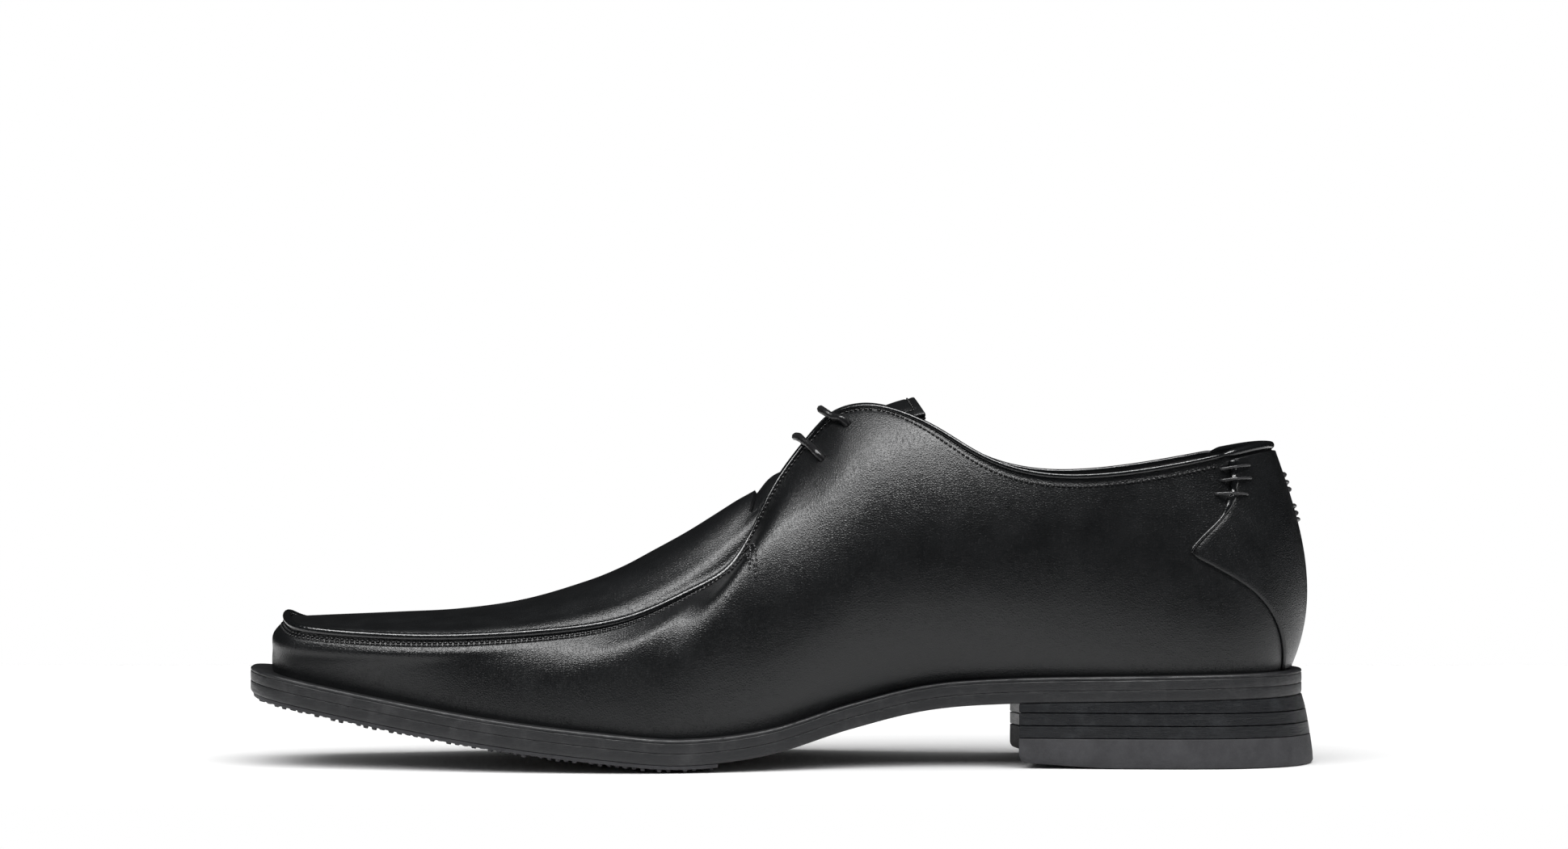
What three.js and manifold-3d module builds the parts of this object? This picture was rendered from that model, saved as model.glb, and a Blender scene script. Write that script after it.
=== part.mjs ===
// Leather dress shoe: a right derby with a square toe, a raised apron seam and two pairs of lace holes.
// Millimetres. +Z is up, the toe points to -X, the inner side of the foot is -Y.
// The origin is on the ground, at the middle of the heel's flat bottom.
import * as THREE from 'three';
import { mergeVertices } from 'three/addons/utils/BufferGeometryUtils.js';
import Module from 'manifold-3d';

const wasm = await Module();
wasm.setup();

// Overall sizes. The lines below are drawn for the first, and are graded to the second.
const drawn = { length: 315, width: 102.6, height: 106 };
const shoe = { length: 315, width: 102.6, height: 106 };
const heelCentre = 45; // from the back of the heel to the origin, as drawn

// Thicknesses and gaps
const gap = 0.3; // between parts that rest on each other
const overlayGap = 0.6; // between the heel overlay and the wall, over their flat facets
const upperThickness = 1.4;
const liningThickness = 0.9;
const stiffenerThickness = 1.2;
const overlayThickness = 1.2;
const weltThickness = 3.8;
const weltReach = 14.5; // from the sole edge inwards
const outsoleThickness = 3.3;
const treadThickness = 1.95;
const edgeTrim = 0.2; // the outsole and the heel stop short of the welt's edge
const treadMargin = 1.6; // the tread stops short of the sole edge
const insoleThickness = 2.5;
const sockThickness = 1;
const lastingMargin = 8; // upper leather turned in under the insole
const shankThickness = 1.1;
const shankWidth = 14;
const shankSpan = { from: 45, to: 165, aside: 3, steps: 16 };
const edgeRollRadius = 1.1;
const edgeClearance = 0.5; // more room between the upper's top edge and the roll over it
const heelTabRadius = 1.5;
const seamRollRadius = 1.25;
const seamClearance = 0.4; // more room between the seam's roll and the apron
const tongueThickness = 1.4;
const tongueLiningThickness = 1;

// Heel
const topPieceHeight = 8.8; // as drawn, and graded with the shoe's height
const liftHeight = 3.4; // likewise; the last lift fills what is left
const liftCount = 3;
const topPieceSpring = 1.9; // the front of the heel's bottom rises by this
const springLength = 30;
const heelFront = 90; // where the rise ends, from the back of the heel
const springPower = 1.3;
const breastHollow = 4; // how far the heel's front face is hollowed
const backFlare = 3.8; // the heel grows by this towards the ground, at the back
const sideFlare = 0.8;
const flarePower = 0.6;
const cornerCut = 7; // the cut inner front corner of the top piece
const cornerTool = { outside: 2, under: 3, below: 1 }; // how far the cutting wedge stands proud
const nailRadius = 1.1;
const heelSteps = { along: 13, across: 6 };

// Lacing
const laceRadius = 1.1;
const laceHoleRadius = 2;
const aglet = { radius: 1.3, length: 20 };
const holeTool = { outside: 2, length: 9, sides: 10 };

// Ends of the pieces, by station, and as shares of the wall's height
const counter = { reach: 6.5, high: 0.68, fade: [6.6, 8.2] };
const toePuff = { from: 18.6, high: 0.78, fade: [17.2, 18.6] };
const stiffenerFoot = 0.4; // over the insole board
const stiffenerFade = [0.8, 0.94];
const bindingStart = 3;
const tabReach = 2.75;
const seamStart = 0.5; // from the throat
const overlaySpan = { low: 0.015, high: 0.95, rows: 16, columns: 14 };

// Apron and tongue
const apronBow = 5; // how far the apron's rear edge is bowed
const apronCrown = 2.2;
const apronTrim = { length: 132, front: 3, corner: 1.2, cornerPower: 6 };
const apronSteps = { along: 16, across: 12 };
const apronLiningInset = 2.6;
const apronLiningRear = 0.92;
const tongueSteps = { along: 12, across: 8 };
const tongueLiningStart = 0.02;
const sweepFrom = 0.8; // share of the tongue's length at which its corners start to sweep back

// Columns round the shoe and rows up its wall
const columnsPerStation = 2;
const wallRows = 7;
const weld = 1e-3; // points closer than this are one
const roundSides = 8;
const laceSteps = 80;

// The lines of the last. Each row is one station from the back of the heel to the middle of the toe:
// sole edge (from the back, inner half width, outer half width), and
// top line: topline, facing edge, then apron seam (from the back, inner, outer, height).
const lines = [
  [3.8, 0, 0, 13, 0, 0, 93.8],
  [6.3, 13, 13.3, 15, 9.5, 9.5, 93.8],
  [14, 24.5, 25, 20.5, 17.3, 17.5, 93],
  [30, 31.8, 32.6, 32, 25.6, 26, 90.6],
  [54, 32, 34, 52, 31.4, 31.8, 87],
  [80, 29.5, 35, 76, 32.2, 32.5, 85.3],
  [100, 27.6, 37.2, 96, 29.5, 30, 89.4],
  [117, 27.8, 40.2, 110, 25, 25.8, 97.3],
  [131, 30, 43.2, 121, 20.5, 21.6, 102.9],
  [143, 33.7, 46, 131.5, 15.8, 16.6, 105.5],
  [154, 38, 48.6, 141, 11.8, 12.2, 103.8],
  [165, 42.2, 50.7, 147.5, 9.8, 10.1, 98.4],
  [176, 46, 52, 154.5, 11.2, 11.5, 89.7],
  [187, 48.7, 52.6, 162, 15.6, 16, 77.8],
  [200, 50, 52.4, 171, 21.5, 22, 60.8],
  [215, 49.8, 51, 184, 29.5, 30.5, 52],
  [233, 47.5, 47.5, 203, 34.8, 35.5, 44],
  [252, 43, 42.5, 228, 36.3, 36.3, 40.2],
  [271, 37.2, 36.5, 254, 34, 33.4, 38.7],
  [288, 32, 31, 277, 30, 28.6, 39],
  [301, 28, 27, 295, 25.3, 24.4, 40.3],
  [310, 21, 20.3, 301.7, 18.2, 17.4, 41.8],
  [314.3, 10, 9.8, 303.9, 9, 8.8, 43.4],
  [315, 0, 0, 304.4, 0, 0, 44],
];
const toe = lines.length - 1; // station of the middle of the toe
const stations = 2 * toe; // the loop goes on round the outer side to the heel
const station = { heelBack: 0, facingTop: 10, throat: 14, toeCorner: 20.5, breast: 5.4, treadEnd: 12 };

// Height of the welt's top over the ground, from the back of the heel to the toe
const soleProfile = [
  [-10, 28.4], [0, 28], [56, 27], [91, 26.2], [115, 24.3], [138, 19], [162, 12.1], [186, 9.72],
  [208, 11.3], [244, 15.6], [280, 21.7], [315, 28.8], [330, 32.2],
];
// Ridge of the apron along its middle, from the throat to the toe
const apronRidge = [
  [160, 84.3], [167, 80.2], [176.4, 74.2], [186, 68.2], [195.6, 62.9], [205, 57.9], [215, 53.8], [234, 48.2],
  [253, 45.4], [272, 44.4], [291, 43.6], [304, 43],
];
// Tongue along its middle: height, half width, and how strongly it is curved across
const tongueRidge = [[114, 108.6], [120, 107.9], [128, 105.4], [135, 102], [141, 98.3], [147.5, 93.6],
  [154.5, 87.8], [159, 84.2], [162.5, 81.2], [165.5, 78.4], [169, 76.4]];
const tongueHalfWidth = [[118, 14.5], [124, 15.4], [130, 14.2], [137, 12.2], [150, 12.2], [160, 13.2], [169, 15]];
const tongueCurve = [[118, 0.022], [130, 0.019], [141, 0.021], [150, 0.025], [160, 0.032], [169, 0.036]];
const tongueEnds = { tip: 118.5, root: 168.2, sweep: 3 }; // the corners of the tip sweep back

// Lean of the wall in degrees: outwards at the welt and inwards at the top line, by station
const flareInner = [[0, 26], [3, 16], [6.5, 34], [9, 30], [12, 12], [16, 6], [20, 7], [toe, 7]];
const flareOuter = [[0, 26], [3, 15], [6.5, 12], [9, 9], [12, 7], [16, 6], [20, 7], [toe, 7]];
const topLean = [[0, 20], [4, 9], [6, 22], [7.2, 36], [8.2, 45], [9.2, 58], [10, 63], [11.5, 68], [12.6, 74],
  [13.3, 77], [14, 78], [14.7, 70], [15.5, 58], [16.5, 48], [18, 40], [20, 35], [toe, 33]];
const handle = 0.36; // length of the curve's handles, as a share of the wall's height
// From the sole edge in to the foot of the upper, by station
const footInset = [[0, 4.3], [3, 3.2], [7, 3.2], [11, 4.3], [16, 5.2], [20, 6], [toe, 6.6]];

// Curves

const up = new THREE.Vector3(0, 0, 1);
const grade = {
  length: shoe.length / drawn.length,
  width: shoe.width / drawn.width,
  height: shoe.height / drawn.height,
};

// A place drawn by its distance from the back of the heel, its side and its height
function place(fromBack, side, height) {
  return new THREE.Vector3((heelCentre - fromBack) * grade.length, side * grade.width, height * grade.height);
}

// Distance from the back of the heel, as drawn, of a point in the model
function fromBackOf(x) {
  return heelCentre - x / grade.length;
}

// Smooth closed curve through its points, with one station from each point to the next
function smoothLoop(points) {
  const count = points.length;
  const controls = points.map((point) => point.clone());
  for (let pass = 0; pass < 40; pass += 1) {
    for (let i = 0; i < count; i += 1) {
      const before = controls[(i + count - 1) % count];
      const after = controls[(i + 1) % count];
      const error = points[i].clone().multiplyScalar(6).sub(before).sub(after);
      controls[i].copy(error.multiplyScalar(0.25));
    }
  }
  return (s) => {
    const cell = Math.floor(s);
    const f = s - cell;
    const weights = [(1 - f) ** 3, 3 * f ** 3 - 6 * f ** 2 + 4, -3 * f ** 3 + 3 * f ** 2 + 3 * f + 1, f ** 3];
    const point = new THREE.Vector3();
    weights.forEach((weight, k) => {
      point.addScaledVector(controls[(cell + k - 1 + 2 * count) % count], weight / 6);
    });
    return point;
  };
}

// Smooth value between [position, value] keys
function keyed(keys, position) {
  const last = keys.length - 1;
  if (position <= keys[0][0]) return keys[0][1];
  if (position >= keys[last][0]) return keys[last][1];
  const k = keys.findIndex((key) => key[0] > position) - 1;
  const slope = (i) => {
    const a = keys[Math.max(i - 1, 0)];
    const b = keys[Math.min(i + 1, last)];
    return (b[1] - a[1]) / (b[0] - a[0]);
  };
  const span = keys[k + 1][0] - keys[k][0];
  const f = (position - keys[k][0]) / span;
  return (2 * f ** 3 - 3 * f ** 2 + 1) * keys[k][1] + (f ** 3 - 2 * f ** 2 + f) * span * slope(k)
    + (3 * f ** 2 - 2 * f ** 3) * keys[k + 1][1] + (f ** 3 - f ** 2) * span * slope(k + 1);
}

// Both sides of the shoe as one loop: inner side from heel to toe, then outer side back to the heel
function loopOf(pointOfRow) {
  const inner = lines.map((row) => pointOfRow(row, -1));
  const outer = lines.slice(1, -1).map((row) => pointOfRow(row, 1)).reverse();
  return smoothLoop([...inner, ...outer]);
}

const soleEdge = loopOf((row, side) => place(row[0], side < 0 ? -row[1] : row[2], 0));
const topLine = loopOf((row, side) => place(row[3], side < 0 ? -row[4] : row[5], row[6]));

// Station counted from the heel on either side, and which side it is
function fold(s) {
  const wrapped = ((s % stations) + stations) % stations;
  return wrapped <= toe ? { row: wrapped, inner: true } : { row: stations - wrapped, inner: false };
}

// Level outward direction of the sole edge
function outward(s) {
  const step = 0.05;
  const along = soleEdge(s + step).sub(soleEdge(s - step));
  return new THREE.Vector3(-along.y, along.x, 0).normalize();
}

function soleTop(x) {
  return keyed(soleProfile, fromBackOf(x)) * grade.height;
}

// A point of the sole edge moved inwards, at a height over the welt's top
function soleInset(s, inset, lift) {
  const point = soleEdge(s).addScaledVector(outward(s), -inset);
  point.z = soleTop(point.x) + lift;
  return point;
}

function foot(s) {
  return soleInset(s, keyed(footInset, fold(s).row), gap);
}

// The upper's outer surface: t runs from 0 at the welt to 1 at the top line
function wallSurface(s, t) {
  const { row, inner } = fold(s);
  const low = foot(s);
  const high = topLine(s);
  const out = outward(s);
  const reach = handle * low.distanceTo(high);
  const flare = THREE.MathUtils.degToRad(keyed(inner ? flareInner : flareOuter, row));
  const lean = THREE.MathUtils.degToRad(keyed(topLean, row));
  const lowHandle = low.clone().addScaledVector(out, Math.sin(flare) * reach)
    .addScaledVector(up, Math.cos(flare) * reach);
  const highHandle = high.clone().addScaledVector(out, Math.sin(lean) * reach)
    .addScaledVector(up, -Math.cos(lean) * reach);
  return new THREE.CubicBezierCurve3(low, lowHandle, highHandle, high).getPoint(t);
}

// Moves a point of a surface along its normal
function below(surface, a, b, depth) {
  const step = 0.02;
  const alongA = surface(a + step, b).sub(surface(a - step, b));
  const alongB = surface(a, b + step).sub(surface(a, b - step));
  return surface(a, b).addScaledVector(alongA.cross(alongB).normalize(), depth);
}

// A point on or inside the wall
function wall(s, t, depth) {
  return below(wallSurface, s, t, depth);
}

// Share of the wall that a length measured at station s takes
function share(s, length) {
  return length / foot(s).distanceTo(topLine(s));
}

// Share of the wall's height at which it reaches a height over the welt
function shareAt(s, height) {
  let low = 0;
  let high = 1;
  for (let pass = 0; pass < 24; pass += 1) {
    const middle = (low + high) / 2;
    const point = wallSurface(s, middle);
    if (point.z - soleTop(point.x) < height) low = middle;
    else high = middle;
  }
  return low;
}

// Solids

function meshOf(positions, triangles) {
  const geometry = new THREE.BufferGeometry();
  const flat = triangles.flat().flatMap((i) => positions[i].toArray());
  geometry.setAttribute('position', new THREE.Float32BufferAttribute(flat, 3));
  const merged = mergeVertices(geometry, weld);
  const index = merged.index.array;
  const corners = merged.attributes.position;
  const kept = [];
  let volume = 0;
  for (let i = 0; i < index.length; i += 3) {
    const [a, b, c] = [index[i], index[i + 1], index[i + 2]];
    if (a === b || b === c || a === c) continue;
    const [p, q, r] = [a, b, c].map((k) => new THREE.Vector3().fromBufferAttribute(corners, k));
    volume += p.dot(q.cross(r));
    kept.push(a, b, c);
  }
  if (volume < 0) kept.reverse();
  merged.setIndex(kept);
  return merged;
}

// Closed solid of a grid of quads: rows of points, joined in a ring along each row or not
function gridSolid(rows, closedRows, closedColumns) {
  const rowCount = rows.length;
  const columnCount = rows[0].length;
  const at = (i, j) => (i % rowCount) * columnCount + (j % columnCount);
  const triangles = [];
  for (let i = 0; i < (closedRows ? rowCount : rowCount - 1); i += 1) {
    for (let j = 0; j < (closedColumns ? columnCount : columnCount - 1); j += 1) {
      triangles.push([at(i, j), at(i, j + 1), at(i + 1, j + 1)]);
      triangles.push([at(i, j), at(i + 1, j + 1), at(i + 1, j)]);
    }
  }
  return { positions: rows.flat(), triangles };
}

// Ring round the shoe: each row is a closed loop, and the rows go round its section
function ring(rows) {
  const { positions, triangles } = gridSolid(rows, true, true);
  return meshOf(positions, triangles);
}

// Sheet with thickness between two open grids of the same size
function sheet(outer, inner) {
  const front = gridSolid(outer, false, false);
  const back = gridSolid(inner, false, false);
  const shift = front.positions.length;
  const rows = outer.length;
  const columns = outer[0].length;
  const rim = [];
  for (let j = 0; j < columns - 1; j += 1) rim.push(j);
  for (let i = 0; i < rows - 1; i += 1) rim.push(i * columns + columns - 1);
  for (let j = columns - 1; j > 0; j -= 1) rim.push((rows - 1) * columns + j);
  for (let i = rows - 1; i > 0; i -= 1) rim.push(i * columns);
  const sides = rim.flatMap((a, k) => {
    const b = rim[(k + 1) % rim.length];
    return [[b, a, a + shift], [b, a + shift, b + shift]];
  });
  const flipped = back.triangles.map(([a, b, c]) => [a + shift, c + shift, b + shift]);
  return meshOf([...front.positions, ...back.positions], [...front.triangles, ...flipped, ...sides]);
}

// Round bar through points, each with two directions that span its section
function bar(frames, radius, sides) {
  const rows = frames.map(({ centre, side, rise }) => Array.from({ length: sides }, (_, k) => {
    const angle = (2 * Math.PI * k) / sides;
    return centre.clone().addScaledVector(side, radius * Math.cos(angle))
      .addScaledVector(rise, radius * Math.sin(angle));
  }));
  const { positions, triangles } = gridSolid(rows, false, true);
  const last = (rows.length - 1) * sides;
  const caps = Array.from({ length: sides - 2 }, (_, k) => [[0, k + 2, k + 1], [last, last + k + 1, last + k + 2]]);
  return meshOf(positions, [...triangles, ...caps.flat()]);
}

function manifoldOf(geometry) {
  const clean = geometry.clone();
  clean.deleteAttribute('normal');
  clean.deleteAttribute('uv');
  const merged = mergeVertices(clean, weld);
  const vertProperties = new Float32Array(merged.attributes.position.array);
  const triVerts = new Uint32Array(merged.index.array);
  return new wasm.Manifold(new wasm.Mesh({ numProp: 3, vertProperties, triVerts }));
}

function cut(geometry, tools) {
  const solid = tools.reduce((rest, tool) => rest.subtract(manifoldOf(tool)), manifoldOf(geometry));
  const { vertProperties, triVerts } = solid.getMesh();
  const result = new THREE.BufferGeometry();
  result.setAttribute('position', new THREE.Float32BufferAttribute(vertProperties, 3));
  result.setIndex(Array.from(triVerts));
  return result;
}

// Round rod from one point along a direction
function rod(start, direction, length, radius, sides = 12) {
  const geometry = new THREE.CylinderGeometry(radius, radius, length, sides);
  geometry.translate(0, length / 2, 0);
  const turn = new THREE.Quaternion().setFromUnitVectors(new THREE.Vector3(0, 1, 0), direction);
  return geometry.applyQuaternion(turn).translate(start.x, start.y, start.z);
}

const shades = {
  leather: [0x14161a, 0.38, 0],
  thread: [0x1c1e20, 0.6, 0],
  lining: [0x2a2a2c, 0.75, 0],
  board: [0x9a7b58, 0.85, 0],
  soleEdge: [0x2b2c2f, 0.45, 0],
  rubber: [0x3a3b3d, 0.7, 0],
  cork: [0x8a6a45, 0.95, 0],
  steel: [0x9a9da1, 0.35, 1],
  lace: [0x121315, 0.55, 0],
};
const model = new THREE.Group();

function add(name, geometry, shade) {
  const [color, roughness, metalness] = shades[shade];
  const mesh = new THREE.Mesh(geometry, new THREE.MeshStandardMaterial({ color, roughness, metalness }));
  mesh.name = name;
  model.add(mesh);
}

function steps(from, to, count) {
  return Array.from({ length: count + 1 }, (_, k) => from + ((to - from) * k) / count);
}

const columns = steps(0, stations, stations * columnsPerStation).slice(0, -1);

// Sole

// Welt: a flat ring under the edge of the upper
function welt() {
  const loop = (inset, lift) => columns.map((s) => soleInset(s, inset, lift));
  return ring([loop(0, -weltThickness), loop(0, 0), loop(weltReach, 0), loop(weltReach, -weltThickness)]);
}

// Flat plate that follows the sole, inside an inset and between two heights over the welt's top
function solePlate(inset, low, high, from = 0, to = toe) {
  const reach = typeof inset === 'function' ? inset : () => inset;
  const grid = (lift) => steps(from, to, Math.round((to - from) * columnsPerStation)).map((s) => {
    const inner = soleInset(s, reach(s), 0);
    const outer = soleInset(stations - s, reach(s), 0);
    return [0, 0.5, 1].map((f) => {
      const point = inner.clone().lerp(outer, f);
      point.z = soleTop(point.x) + lift;
      return point;
    });
  });
  return sheet(grid(high), grid(low));
}

const outsoleTop = -weltThickness - gap;
const outsoleBottom = outsoleTop - outsoleThickness;
const treadTop = outsoleBottom - gap;
const corkLow = -weltThickness;
const corkHigh = -gap - shankThickness - gap;

function shank() {
  const half = shankWidth / 2;
  const fromBacks = steps(shankSpan.from, shankSpan.to, shankSpan.steps);
  const rows = fromBacks.map((fromBack) => [-half, 0, half].map((side) => {
    const point = place(fromBack, 0, 0);
    point.y = side + shankSpan.aside * grade.width;
    point.z = soleTop(point.x) + corkHigh + gap;
    return point;
  }));
  const raised = rows.map((row) => row.map((point) => point.clone().addScaledVector(up, shankThickness)));
  return sheet(raised, rows);
}

// Heel

// Outline of the heel at a height: the sole's edge, grown towards the ground
function heelPoint(s, height) {
  const out = outward(s);
  const full = soleTop(0) + outsoleBottom;
  const drop = THREE.MathUtils.clamp(1 - height / full, 0, 1);
  const growth = drop ** flarePower * (sideFlare + (backFlare - sideFlare) * Math.max(out.x, 0) ** 2);
  return soleEdge(s).addScaledVector(out, growth - edgeTrim);
}

function heelGrid(heightAt) {
  const level = heightAt(0);
  return steps(0, station.breast, heelSteps.along).map((s) => {
    const inner = heelPoint(s, level);
    const outer = heelPoint(stations - s, level);
    return steps(0, 1, heelSteps.across).map((f) => {
      const point = inner.clone().lerp(outer, f);
      point.x += breastHollow * 4 * f * (1 - f) * (s / station.breast) ** 6;
      point.z = heightAt(point.x);
      return point;
    });
  });
}

function springAt(x) {
  const flatEnd = place(heelFront, 0, 0).x + springLength;
  return topPieceSpring * Math.max((flatEnd - x) / springLength, 0) ** springPower;
}

const topPieceTop = topPieceHeight * grade.height;

// Height of the bottom of a lift
function liftLow(number) {
  return topPieceTop + gap + (number - 1) * (liftHeight * grade.height + gap);
}

function heelTopPiece() {
  const body = sheet(heelGrid(() => topPieceTop), heelGrid(springAt));
  const { x, y } = heelPoint(station.breast, 0);
  const { outside, under, below: short } = cornerTool;
  const size = cornerCut + under;
  // A wedge whose slope runs from the top of the corner to the bottom of the front and side faces
  const wedge = [
    new THREE.Vector3(x - outside, y - outside, topPieceTop - short),
    new THREE.Vector3(x - outside, y - outside, -under),
    new THREE.Vector3(x + size, y - outside, -under),
    new THREE.Vector3(x - outside, y + size, -under),
  ];
  return cut(body, [meshOf(wedge, [[0, 1, 2], [0, 2, 3], [0, 3, 1], [1, 3, 2]])]);
}

const nailSpots = [[14, 0], [30, -19], [30, 19], [62, -18], [62, 20]];

function nailTools(radius, low, high) {
  return nailSpots.map(([fromBack, side]) => {
    const start = place(fromBack, side, 0);
    start.z = low;
    return rod(start, up, high - low, radius, roundSides);
  });
}

function heelLift(number) {
  const underOutsole = (x) => soleTop(x) + outsoleBottom - gap;
  const high = number === liftCount ? underOutsole : () => liftLow(number + 1) - gap;
  const body = sheet(heelGrid(high), heelGrid(() => liftLow(number)));
  return cut(body, nailTools(nailRadius + gap, 0, soleTop(0)));
}

// Upper

const loopAt = (t, depth) => columns.map((s) => wall(s, typeof t === 'function' ? t(s) : t, depth));

// The upper stops under the rolled edge or seam
function upperTop(s) {
  return 1 - share(s, edgeRollRadius + gap + edgeClearance);
}

// Lining depth: deeper where a stiffener lies behind the upper
function stiffened(s, t) {
  const { row } = fold(s);
  const smooth = THREE.MathUtils.smoothstep;
  const ends = Math.max(1 - smooth(row, ...counter.fade), smooth(row, ...toePuff.fade));
  return ends * (1 - smooth(t, ...stiffenerFade));
}

function liningDepth(s, t) {
  return upperThickness + gap + stiffened(s, t) * (stiffenerThickness + gap);
}

function sideWall() {
  const outerRows = steps(0, 1, wallRows).map((f) => loopAt((s) => f * upperTop(s), 0));
  const low = (s) => shareAt(s, 2 * upperThickness);
  const inside = (f) => loopAt((s) => Math.max(f * upperTop(s), low(s)), upperThickness);
  const innerRows = steps(1, 0, wallRows).map(inside);
  const bend = gap + upperThickness;
  const turnedIn = (margin, lift) => columns.map((s) => soleInset(s, keyed(footInset, fold(s).row) + margin, lift));
  const margin = [turnedIn(upperThickness, bend), turnedIn(lastingMargin, bend), turnedIn(lastingMargin, gap)];
  const body = ring([...outerRows, ...innerRows, ...margin]);
  return cut(body, laceHoles());
}

const liningFoot = gap + upperThickness + gap + insoleThickness + gap;

function quarterLining() {
  const low = (s) => shareAt(s, liningFoot);
  const rows = (from, to, extra) => steps(from, to, wallRows).map((f) => columns.map((s) => {
    const t = Math.max(f * upperTop(s), low(s));
    return wall(s, t, liningDepth(s, t) + extra);
  }));
  return cut(ring([...rows(1, 0, 0), ...rows(0, 1, liningThickness)]), laceHoles());
}

// Stiffener between the upper and the lining, over stations from one side to the other
function stiffener(from, to, high, extraFoot) {
  const grid = (depth) => steps(from, to, Math.round((to - from) * columnsPerStation)).map((s) => {
    const low = shareAt(s, liningFoot + extraFoot);
    return steps(0, 1, 5).map((f) => wall(s, low + f * (high - low), depth));
  });
  const depth = upperThickness + gap;
  return sheet(grid(depth), grid(depth + stiffenerThickness));
}

// Lace holes, as places on the wall: station, and length below the facing's edge
const holePlaces = [[11.15, 13], [9.95, 6.6]].flatMap(([s, drop]) => [[s, drop], [stations - s, drop]]);

function holeFrame([s, drop]) {
  const t = 1 - share(s, drop);
  const start = wall(s, t, -holeTool.outside);
  return { start, direction: wall(s, t, 0).sub(start).normalize() };
}

function laceHoles() {
  return holePlaces.map((spot) => {
    const { start, direction } = holeFrame(spot);
    return rod(start, direction, holeTool.length, laceHoleRadius, holeTool.sides);
  });
}

// Rolled edge or seam along the top line
function roll(from, to, radius) {
  const frames = steps(from, to, Math.round((to - from) * columnsPerStation)).map((s) => {
    const centre = topLine(s);
    const along = topLine(s + 0.05).sub(topLine(s - 0.05)).normalize();
    const side = along.clone().cross(up).normalize();
    return { centre, side, rise: side.clone().cross(along) };
  });
  return bar(frames, radius, roundSides);
}

// Pointed leather piece round the back of the heel: how far it reaches forward, by share of the height
const overlayReach = [[0, 1.3], [0.2, 1.85], [0.35, 2.37], [0.5, 3.08], [0.575, 3.37], [0.64, 3.24],
  [0.74, 2.85], [0.85, 2.62], [1, 2.6]];

function heelOverlay() {
  const { low, high, rows, columns: across } = overlaySpan;
  const grid = (depth) => steps(low, high, rows).map((t) => {
    const reach = keyed(overlayReach, t);
    return steps(-reach, reach, across).map((s) => wall(s, t, depth));
  });
  return sheet(grid(-overlayGap - overlayThickness), grid(-overlayGap));
}

// Apron: spanned between the seam's two sides, its front and a bowed rear edge, then crowned
function apronSides(p) {
  const s = station.toeCorner + (station.throat - station.toeCorner) * p;
  return [topLine(s), topLine(stations - s)];
}

function apronSurface(p, q) {
  const [inner, outer] = apronSides(p);
  const [innerCorner, outerCorner] = apronSides(0);
  const f = (q + 1) / 2;
  const fading = (1 - p) ** 2;
  const front = topLine(station.toeCorner + (stations - 2 * station.toeCorner) * f);
  const frontBow = front.sub(innerCorner.clone().lerp(outerCorner, f)).multiplyScalar(fading);
  const rearBow = apronBow * grade.length * p ** 4;
  const middle = inner.clone().lerp(outer, 0.5).addScaledVector(topLine(toe), fading)
    .addScaledVector(innerCorner.add(outerCorner), -fading / 2);
  const ridge = keyed(apronRidge, fromBackOf(middle.x + rearBow)) * grade.height;
  const point = inner.lerp(outer, f).add(frontBow);
  point.x += rearBow * (1 - q * q);
  point.z += (ridge - middle.z) * (1 - Math.abs(q) ** apronCrown);
  return point;
}

function apronGrid(depth, trim) {
  return steps(trim.front, trim.rear, apronSteps.along).map((p) => {
    const [inner, outer] = apronSides(p);
    const corner = 1 + apronTrim.corner * (1 - p) ** apronTrim.cornerPower;
    const edge = 1 - (2 * trim.side * corner) / inner.distanceTo(outer);
    return steps(-edge, edge, apronSteps.across).map((q) => below(apronSurface, p, q, -depth));
  });
}

function apron(depth, thickness, inset, rear) {
  const trim = { front: (inset * apronTrim.front) / apronTrim.length, side: inset, rear };
  return sheet(apronGrid(depth, trim), apronGrid(depth + thickness, trim));
}

function tongueSurface(a, q) {
  const fromBack = tongueEnds.root + (tongueEnds.tip - tongueEnds.root) * a;
  const side = q * keyed(tongueHalfWidth, fromBack);
  const sweep = tongueEnds.sweep * q ** 2 * THREE.MathUtils.smoothstep(a, sweepFrom, 1);
  const point = place(fromBack - sweep, side, 0);
  const drop = keyed(tongueCurve, fromBack) * side * side;
  point.z = (keyed(tongueRidge, fromBack) - drop) * grade.height;
  return point;
}

function tongueSheet(depth, thickness, root) {
  const across = steps(-1, 1, tongueSteps.across);
  const row = (a, deep) => across.map((q) => below(tongueSurface, a, q, -deep));
  const grid = (deep) => steps(root, 1, tongueSteps.along).map((a) => row(a, deep));
  return sheet(grid(depth), grid(depth + thickness));
}

// Lace

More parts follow.
